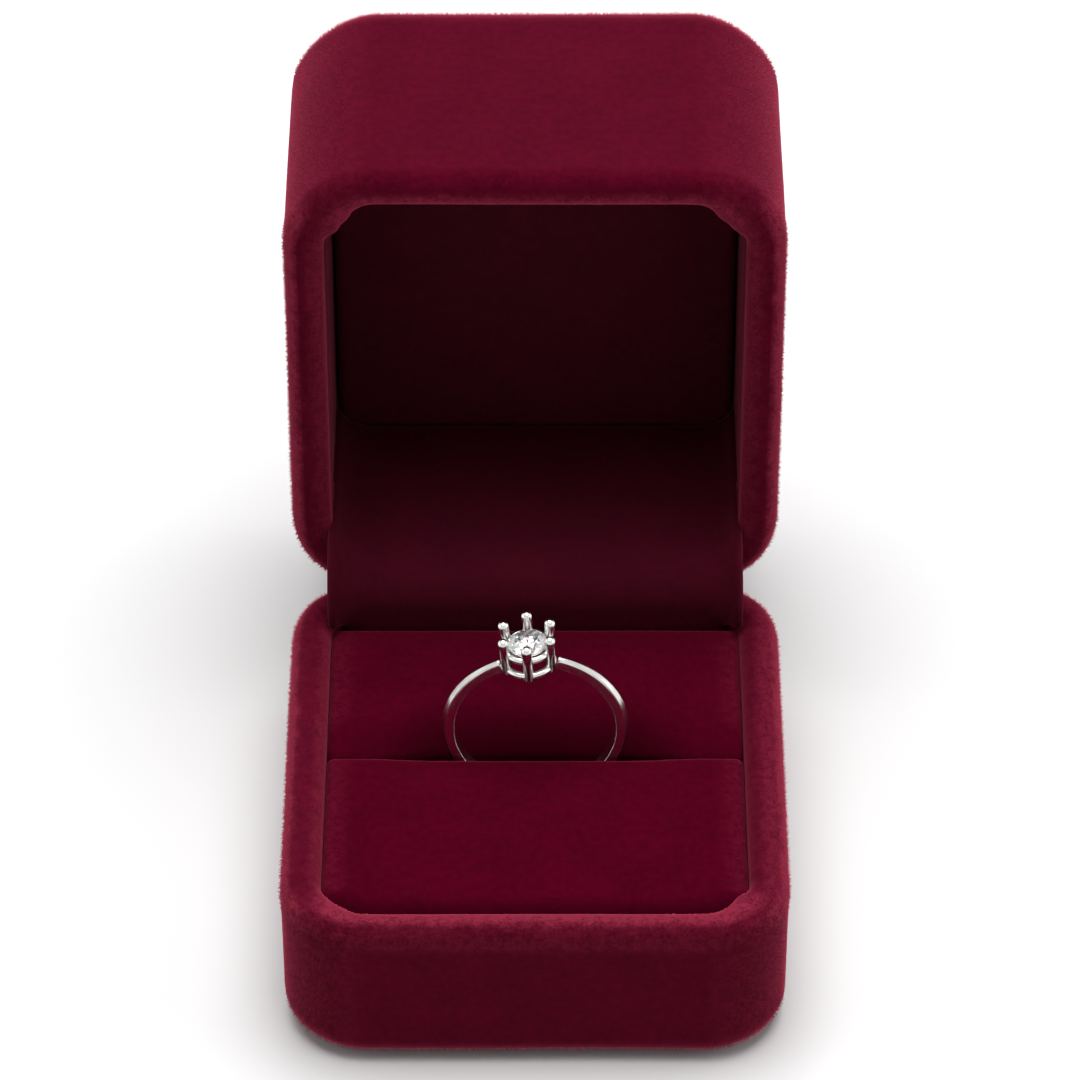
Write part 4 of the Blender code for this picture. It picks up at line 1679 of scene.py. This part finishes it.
@dataclass
class Curtain:
    """The velvet strip that hides the hinge: up behind the rear pad, round the hinge and along the lid."""

    finish: Velvet
    hinge: Hinge = Hinge()
    width: float = 42.6 * MM
    foot_width: float = 40.0 * MM
    radius: float = 4.45 * MM
    thickness: float = 0.6 * MM
    drop: float = 9.0 * MM
    reach: float = 21.0 * MM
    spacing: float = 0.45 * MM
    foot_levels: Point = (16.0 * MM, 18.0 * MM)
    flat_half: float = 17.4 * MM
    corner: float = 4.3 * MM
    corner_share: float = 0.97
    relief: Relief = Relief(0.10 * MM, 11.0 * MM, 0.012 * MM, 1.6 * MM, 0.012 * MM)

    def build(self) -> bpy.types.Object:
        """Models the strip and lets it bend from the base to the lid.

        Returns:
            The strip.
        """
        path = evenly(self.hinge.path(self.radius, self.drop, self.reach), self.spacing)
        bm = grow_strip(path, self.width, self.spacing)
        self._curl(bm)
        raise_pile(bm, bm.verts[:], self.relief)
        bmesh.ops.solidify(bm, geom=bm.faces[:], thickness=self.thickness)
        face_out(bm)
        piece = new_piece("hinge_curtain_strip", bm, self.finish)
        length = sum(math.dist(near, far) for near, far in zip(path, path[1:]))
        self.hinge.flex(piece, self.radius, "lining_velvet", "hinge_curtain")
        return piece

    def _curl(self, bm: bmesh.types.BMesh) -> None:
        """Curls the strip's edges to the box's rounded corners, and narrows its foot behind the pad.

        Args:
            bm: the strip's mesh.
        """
        bm.normal_update()
        moves = []
        for corner in bm.verts:
            foot = 1.0 - smooth_step(*self.foot_levels, corner.co.z)
            narrow = 1.0 - foot * (1.0 - self.foot_width / self.width)
            past = abs(corner.co.x) * narrow - self.flat_half
            over = min(max(past, 0.0), self.corner * self.corner_share)
            curl = self.corner - math.sqrt(self.corner**2 - over**2)
            moves.append((corner, narrow, corner.normal * curl * (1.0 - foot)))
        for corner, narrow, move in moves:
            corner.co.x *= narrow
            corner.co += move


@dataclass
class SnapSpring:
    """The bent leaf of spring steel over the hinge's barrel, which flexes as the lid turns."""

    finish: Finish
    hinge: Hinge = Hinge()
    width: float = 7.0 * MM
    radius: float = 2.4 * MM
    thickness: float = 0.3 * MM
    leg: float = 5.5 * MM
    end_ease: float = 0.4 * MM
    end_steps: int = 4
    spacing: float = 0.5 * MM

    def build(self) -> bpy.types.Object:
        """Models the leaf, with rounded ends, and puts it in place of its CAD node.

        Returns:
            The leaf.
        """
        path = evenly(self.hinge.path(self.radius, self.leg, self.leg), self.spacing)
        bm = grow_strip(path, self.width, self.spacing)
        ends = [corner for corner in bm.verts if len(corner.link_faces) == 1]
        round_off(bm, ends, "VERTICES", self.end_ease, self.end_steps)
        bmesh.ops.solidify(bm, geom=bm.faces[:], thickness=self.thickness)
        face_out(bm)
        piece = new_piece("hinge_spring_leaf", bm, self.finish, False)
        self.hinge.flex(piece, self.radius, "hinge_steel", "hinge_spring")
        return piece


@dataclass
class SolitaireRing:
    """The ring in the slit: a knife-edged band with leaf facets on its shoulders, a claw head, a stone."""

    metal: Finish
    crystal: Finish
    centre: Place = (0.0, 1.9 * MM, 19.9 * MM)
    lean: float = math.radians(-4.0)
    outer: float = 9.6 * MM
    thickness: float = 1.3 * MM
    width: float = 1.8 * MM
    shoulder_width: float = 0.52 * MM
    taper: float = 2.2
    ridge: float = 0.35 * MM
    ease: float = 0.16 * MM
    ease_steps: int = 4
    gap: float = math.radians(18.6)
    leaf_start: float = 0.6
    leaf_end: float = math.radians(76.0)
    crest_share: float = 0.04
    leaf_share: float = 0.55
    leaf_dip: float = 0.03 * MM
    leaf_tilt: float = 0.05 * MM
    slope_cuts: int = 9
    slope_margin: float = 1e-7
    steps: int = 220
    head_bottom: float = 8.6 * MM
    head_top: float = 13.0 * MM
    pitch_bottom: float = 2.46 * MM
    pitch_top: float = 2.76 * MM
    claw_radius: float = 0.57 * MM
    claw_foot: float = 0.9
    claw_tip: float = 0.96
    claw_sides: int = 22
    tip_steps: int = 8
    claw_count: int = 6
    rail_radius: float = 0.36 * MM
    rail_sides: int = 14
    rail_steps: int = 72
    rails: tuple[Point, Point] = ((8.96 * MM, 2.48 * MM), (10.75 * MM, 2.27 * MM))

    def build(self) -> list[bpy.types.Object]:
        """Builds the band and the head, and dresses the stone."""
        metal = [self._finish("ring_shank", self._band()), self._finish("ring_head", self._head())]
        return metal + dress_nodes(self.crystal, "ring_stone")

    def _finish(self, node: str, bm: bmesh.types.BMesh) -> bpy.types.Object:
        """Puts a metal piece in its place in the slit.

        Args:
            node: the CAD node that it stands for.
            bm: its mesh, upright round the ring's centre.

        Returns:
            The piece.
        """
        face_out(bm)
        place = Matrix.Translation(self.centre) @ Matrix.Rotation(self.lean, 4, "Y")
        bmesh.ops.transform(bm, matrix=place, verts=bm.verts[:])
        return fit(new_piece(node + "_polished", bm, self.metal), "ring", "ring_metal", node)

    def _band(self) -> bmesh.types.BMesh:
        """Models the band, open at the top where the head sits.

        Returns:
            Its mesh.
        """
        half, inner = self.width / 2, self.outer - self.thickness
        foot = self.outer - self.ridge
        bm = bmesh.new()
        section = ((-half, inner), (half, inner), (half, foot), (0.0, self.outer), (-half, foot))
        corners = [bm.verts.new((0.0, y, radius)) for y, radius in section]
        bm.faces.new(corners)
        crest = self.outer - self.ease / 2
        lower = [corner for corner in corners if corner.co.z < crest]
        round_off(bm, lower, "VERTICES", self.ease, self.ease_steps)
        slopes = [edge for edge in bm.edges if max(end.co.z for end in edge.verts) > crest]
        bmesh.ops.subdivide_edges(bm, edges=slopes, cuts=self.slope_cuts)
        bmesh.ops.delete(bm, geom=bm.faces[:], context="FACES_ONLY")
        start = Matrix.Rotation(self.gap, 3, "Y")
        bmesh.ops.rotate(bm, cent=(0, 0, 0), matrix=start, verts=bm.verts[:])
        bmesh.ops.spin(
            bm, geom=bm.verts[:] + bm.edges[:], cent=(0, 0, 0), axis=(0, 1, 0),
            angle=2 * math.pi - 2 * self.gap, steps=self.steps, use_merge=False,
        )
        weld(bm, FINE_WELD)
        ends = [edge for edge in bm.edges if edge.is_boundary]
        bmesh.ops.holes_fill(bm, edges=ends, sides=0)
        for corner in bm.verts:
            self._shape(corner)
        return bm

    def _shape(self, corner: bmesh.types.BMVert) -> None:
        """Narrows the band towards the head and flattens leaf-shaped facets on its shoulders.

        Args:
            corner: a corner of the band.
        """
        radius = math.hypot(corner.co.x, corner.co.z)
        angle = abs(math.atan2(corner.co.x, corner.co.z))
        share = ((1 + math.cos(angle)) / 2) ** self.taper
        narrow = 1 + (self.shoulder_width / self.width - 1) * share
        slope_end = 1 - self.ease / math.hypot(self.width / 2, self.ridge)
        across = abs(corner.co.y) / (self.width / 2)
        if radius > self.outer - self.ridge * slope_end - self.slope_margin:
            across = self._leaf(corner, radius, angle, across / slope_end, narrow) * slope_end
        corner.co.y = math.copysign(across * self.width / 2, corner.co.y) * narrow

    def _leaf(
        self,
        corner: bmesh.types.BMVert,
        radius: float,
        angle: float,
        across: float,
        narrow: float,
    ) -> float:
        """Sets a corner of the band's slopes at its height.

        Args:
            corner: the corner.
            radius: its distance from the band's axis.
            angle: how far it lies from the head, in radians.
            across: its share of the way from the crest to the slope's foot.
            narrow: the band's width there, as a share of its full width.

        Returns:
            Its new share of that way.
        """
        start = self.gap * self.leaf_start
        along = min(max((angle - start) / (self.leaf_end - start), 0.0), 1.0)
        leaf = math.sin(math.pi * along) ** 2
        crest = self.crest_share + (self.leaf_share - self.crest_share) * leaf
        inner, outer = min(2 * across, 1.0), max(2 * across - 1, 0.0)
        drop = self.ridge * narrow * outer + self.leaf_dip * leaf * (1 - inner**2)
        drop += math.copysign(self.leaf_tilt * leaf * inner * (1 - outer), corner.co.y)
        corner.co.x *= (self.outer - drop) / radius
        corner.co.z *= (self.outer - drop) / radius
        return crest * inner + (1 - crest) * outer

    def _head(self) -> bmesh.types.BMesh:
        """Models six round-tipped claws on two rails of round wire.

        Returns:
            The head's mesh.
        """
        bm = bmesh.new()
        for height, reach in self.rails:
            wire = bmesh.ops.create_circle(bm, segments=self.rail_sides, radius=self.rail_radius)["verts"]
            upright = Matrix.Translation((reach, 0.0, height)) @ Matrix.Rotation(math.pi / 2, 4, "X")
            bmesh.ops.transform(bm, matrix=upright, verts=wire)
            loop = list(dict.fromkeys(edge for corner in wire for edge in corner.link_edges))
            bmesh.ops.spin(
                bm, geom=wire + loop, cent=(0, 0, 0), axis=(0, 0, 1), angle=2 * math.pi,
                steps=self.rail_steps, use_merge=True,
            )
        weld(bm, FINE_WELD)
        for index in range(self.claw_count):
            self._claw(bm, math.radians(90.0) + 2 * math.pi * index / self.claw_count)
        return bm

    def _claw(self, bm: bmesh.types.BMesh, turn: float) -> None:
        """Adds one claw, which leans out a little.

        Args:
            bm: the head's mesh.
            turn: the claw's angle round the head.
        """
        height = self.head_top - self.head_bottom
        made = bmesh.ops.create_cone(
            bm, cap_ends=True, segments=self.claw_sides, radius1=self.claw_radius * self.claw_foot,
            radius2=self.claw_radius, depth=height,
        )["verts"]
        edges = dict.fromkeys(edge for corner in made for edge in corner.link_edges)
        rim = [edge for edge in edges if all(end.co.z > 0 for end in edge.verts)]
        rounded = round_off(bm, rim, "EDGES", self.claw_radius * self.claw_tip, self.tip_steps)
        lean = math.atan2(self.pitch_top - self.pitch_bottom, height)
        pitch = (self.pitch_top + self.pitch_bottom) / 2
        middle = Matrix.Translation((pitch, 0.0, (self.head_top + self.head_bottom) / 2))
        place = Matrix.Rotation(turn, 4, "Z") @ middle
        claw = list(dict.fromkeys([corner for corner in made if corner.is_valid] + list(rounded)))
        bmesh.ops.transform(bm, matrix=place @ Matrix.Rotation(lean, 4, "Y"), verts=claw)


@dataclass
class Studio:
    """The pale floor, soft light from above and the camera at the photograph's angle."""

    target: Place = (0.5 * MM, 26.446 * MM, 24.0 * MM)
    distance: float = 595.385 * MM
    elevation: float = math.radians(40.252)
    lens: float = 188.2
    sensor: float = 36.0
    clip_start: float = 0.01
    floor_size: float = 8.0
    floor_gap: float = 0.02 * MM
    floor_roughness: float = 0.9
    floor_gloss: float = 0.1
    # Painted light: the floor is darker in front and lighter towards the back.
    near_floor: Colour = (0.87, 0.868, 0.868)
    far_floor: Colour = (0.97, 0.97, 0.97)
    floor_turn: Point = (-0.06, 0.12)
    fade: Point = (0.20, 0.75)
    key_power: float = 4.2
    key_size: float = 0.5
    key_place: Place = (0.01, 0.04, 0.62)
    sky: float = 0.30
    grey_heights: Point = (0.15, 0.60)
    grey: float = 0.75
    fill_powers: Point = (0.36, 0.70)
    fill_size: float = 0.45
    fill_place: Place = (0.55, -0.04, 0.20)

    def build(self) -> None:
        """Sets up the stage."""
        self._floor()
        self._sky()
        self._lamps()
        self._camera()
        bpy.context.scene.view_settings.view_transform = "Standard"

    def _floor(self) -> None:
        """A pale floor with painted light, lighter towards the back, that far off is seen as white as the
        sky.
        """
        bm = bmesh.new()
        bmesh.ops.create_grid(bm, x_segments=1, y_segments=1, size=self.floor_size / 2)
        mesh = bpy.data.meshes.new("floor")
        bm.to_mesh(mesh)
        bm.free()
        floor = bpy.data.objects.new("floor", mesh)
        floor.location.z = -self.floor_gap
        bpy.context.scene.collection.objects.link(floor)
        material = bpy.data.materials.new("pale_floor")
        material.use_nodes = True
        graph = Graph(material.node_tree)
        back = graph.node("ShaderNodeSeparateXYZ", inputs={0: graph.place()}, output="Y")
        shade = graph.mix(graph.spread(back, *self.floor_turn), self.near_floor, self.far_floor)
        paper = {
            "Base Color": shade, "Roughness": self.floor_roughness, "Specular IOR Level": self.floor_gloss,
        }
        away = graph.node("ShaderNodeVectorMath", {"operation": "LENGTH"}, {0: graph.place()}, "Value")
        white = graph.spread(away, *self.fade) * graph.node("ShaderNodeLightPath", output="Is Camera Ray")
        near = graph.node("ShaderNodeBsdfPrincipled", inputs=paper)
        ends = {0: white, 1: near, 2: graph.node("ShaderNodeEmission")}
        both = graph.node("ShaderNodeMixShader", inputs=ends)
        graph.node_output("ShaderNodeOutputMaterial", both)
        floor.data.materials.append(material)
        floor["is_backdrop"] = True

    def _sky(self) -> None:
        """A dim sky for light, and a white one that greys overhead for what is seen or mirrored."""
        world = bpy.data.worlds.new("studio")
        world.use_nodes = True
        bpy.context.scene.world = world
        graph = Graph(world.node_tree)
        names = ("Is Camera Ray", "Is Glossy Ray", "Is Transmission Ray")
        viewed, mirrored, through = (graph.node("ShaderNodeLightPath", output=name) for name in names)
        seen = viewed | mirrored | through
        dim = graph.node("ShaderNodeBackground", inputs={"Strength": self.sky})
        here = graph.node("ShaderNodeTexCoord", output="Generated")
        height = graph.node("ShaderNodeSeparateXYZ", inputs={0: here}, output="Z")
        overhead = graph.spread(height, *self.grey_heights)
        shade = graph.mix(overhead, (1.0, 1.0, 1.0), (self.grey,) * 3)
        white = graph.node("ShaderNodeBackground", inputs={"Color": shade, "Strength": 1.0})
        both = graph.node("ShaderNodeMixShader", inputs={0: seen, 1: dim, 2: white})
        graph.node_output("ShaderNodeOutputWorld", both)

    def _lamps(self) -> None:
        """A large soft lamp overhead, and a weak one on each side, the stronger on the right."""
        side, back, height = self.fill_place
        self._lamp("overhead", self.key_power, self.key_size, Vector(self.key_place))
        for name, power, x in zip(("left_fill", "right_fill"), self.fill_powers, (-side, side)):
            self._lamp(name, power, self.fill_size, Vector((x, back, height)))

    def _lamp(self, name: str, power: float, size: float, place: Vector) -> None:
        """Adds a square lamp that looks at the box.

        Args:
            name: its name.
            power: its power in watts.
            size: the length of its sides.
            place: where it stands.
        """
        lamp = bpy.data.lights.new(name, "AREA")
        lamp.energy = power
        lamp.size = size
        holder = bpy.data.objects.new(name, lamp)
        holder.location = place
        holder.rotation_euler = (Vector(self.target) - place).to_track_quat("-Z", "Y").to_euler()
        bpy.context.scene.collection.objects.link(holder)

    def _camera(self) -> None:
        """The camera of the photograph."""
        camera = bpy.data.cameras.new("camera")
        camera.lens = self.lens
        camera.sensor_width = self.sensor
        camera.clip_start = self.clip_start
        holder = bpy.data.objects.new("camera", camera)
        away = Vector((0.0, -math.cos(self.elevation), math.sin(self.elevation)))
        holder.location = Vector(self.target) + away * self.distance
        holder.rotation_euler = (-away).to_track_quat("-Z", "Y").to_euler()
        bpy.context.scene.collection.objects.link(holder)
        bpy.context.scene.camera = holder


def write_sizes() -> None:
    """Sets the CAD model's box beside the visual model's box; the result is not kept."""
    boxes = {"cad": CAD_BOX, "visual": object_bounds()}
    {name: [list(corner) for corner in box] for name, box in boxes.items()}


def main() -> None:
    """Builds every sub-assembly in turn and reports its pieces."""
    logging.basicConfig(level=logging.INFO, format="%(message)s")
    skin = Velvet("red_velvet", (0.054, 0.0006, 0.0076), (0.104, 0.0018, 0.0152), haze=0.035)
    # The loose pile is lighter than the skin, painted light against the spikes' own shade, and has a
    # stronger painted sheen at a glance.
    loose = Velvet(
        "red_loose_pile", (0.076, 0.0011, 0.0110), (0.140, 0.0026, 0.0208),
        painted_sheen_colour=(0.850, 0.090, 0.180), painted_sheen=1.0, painted_sheen_power=3.5,
    )
    pile = Velvet("red_pad_velvet", (0.050, 0.0006, 0.0074), (0.090, 0.0011, 0.0128), painted_sheen=0.5)
    lining = Velvet(
        "red_lining_velvet", (0.050, 0.0014, 0.0090), (0.088, 0.0028, 0.0150), painted_sheen=0.3, haze=0.16,
    )
    # The curtain's velvet is darker than the others: painted shade under the open lid.
    strip = Velvet(
        "red_curtain_velvet", (0.038, 0.0008, 0.0066), (0.066, 0.0015, 0.0104), painted_sheen=0.3, haze=0.08,
    )
    plastic, board, foam = MouldedPlastic(), GreyBoard(), OpenFoam()
    Studio().build()
    pieces = BaseBox(skin, loose, pile, plastic, board, foam).build()
    pieces += LidBox(skin, loose, lining, plastic, board, foam).build()
    steel = NickelledSteel()
    pieces += Hinge().dress(steel)
    pieces += [SnapSpring(steel).build(), Curtain(strip).build()]
    pieces += SolitaireRing(PolishedMetal(), Crystal()).build()
    for piece in pieces:
        LOG.info("%s: %d faces in %s", piece.name, len(piece.data.polygons), piece.active_material.name)
    write_sizes()


if __name__ == "__main__":
    main()
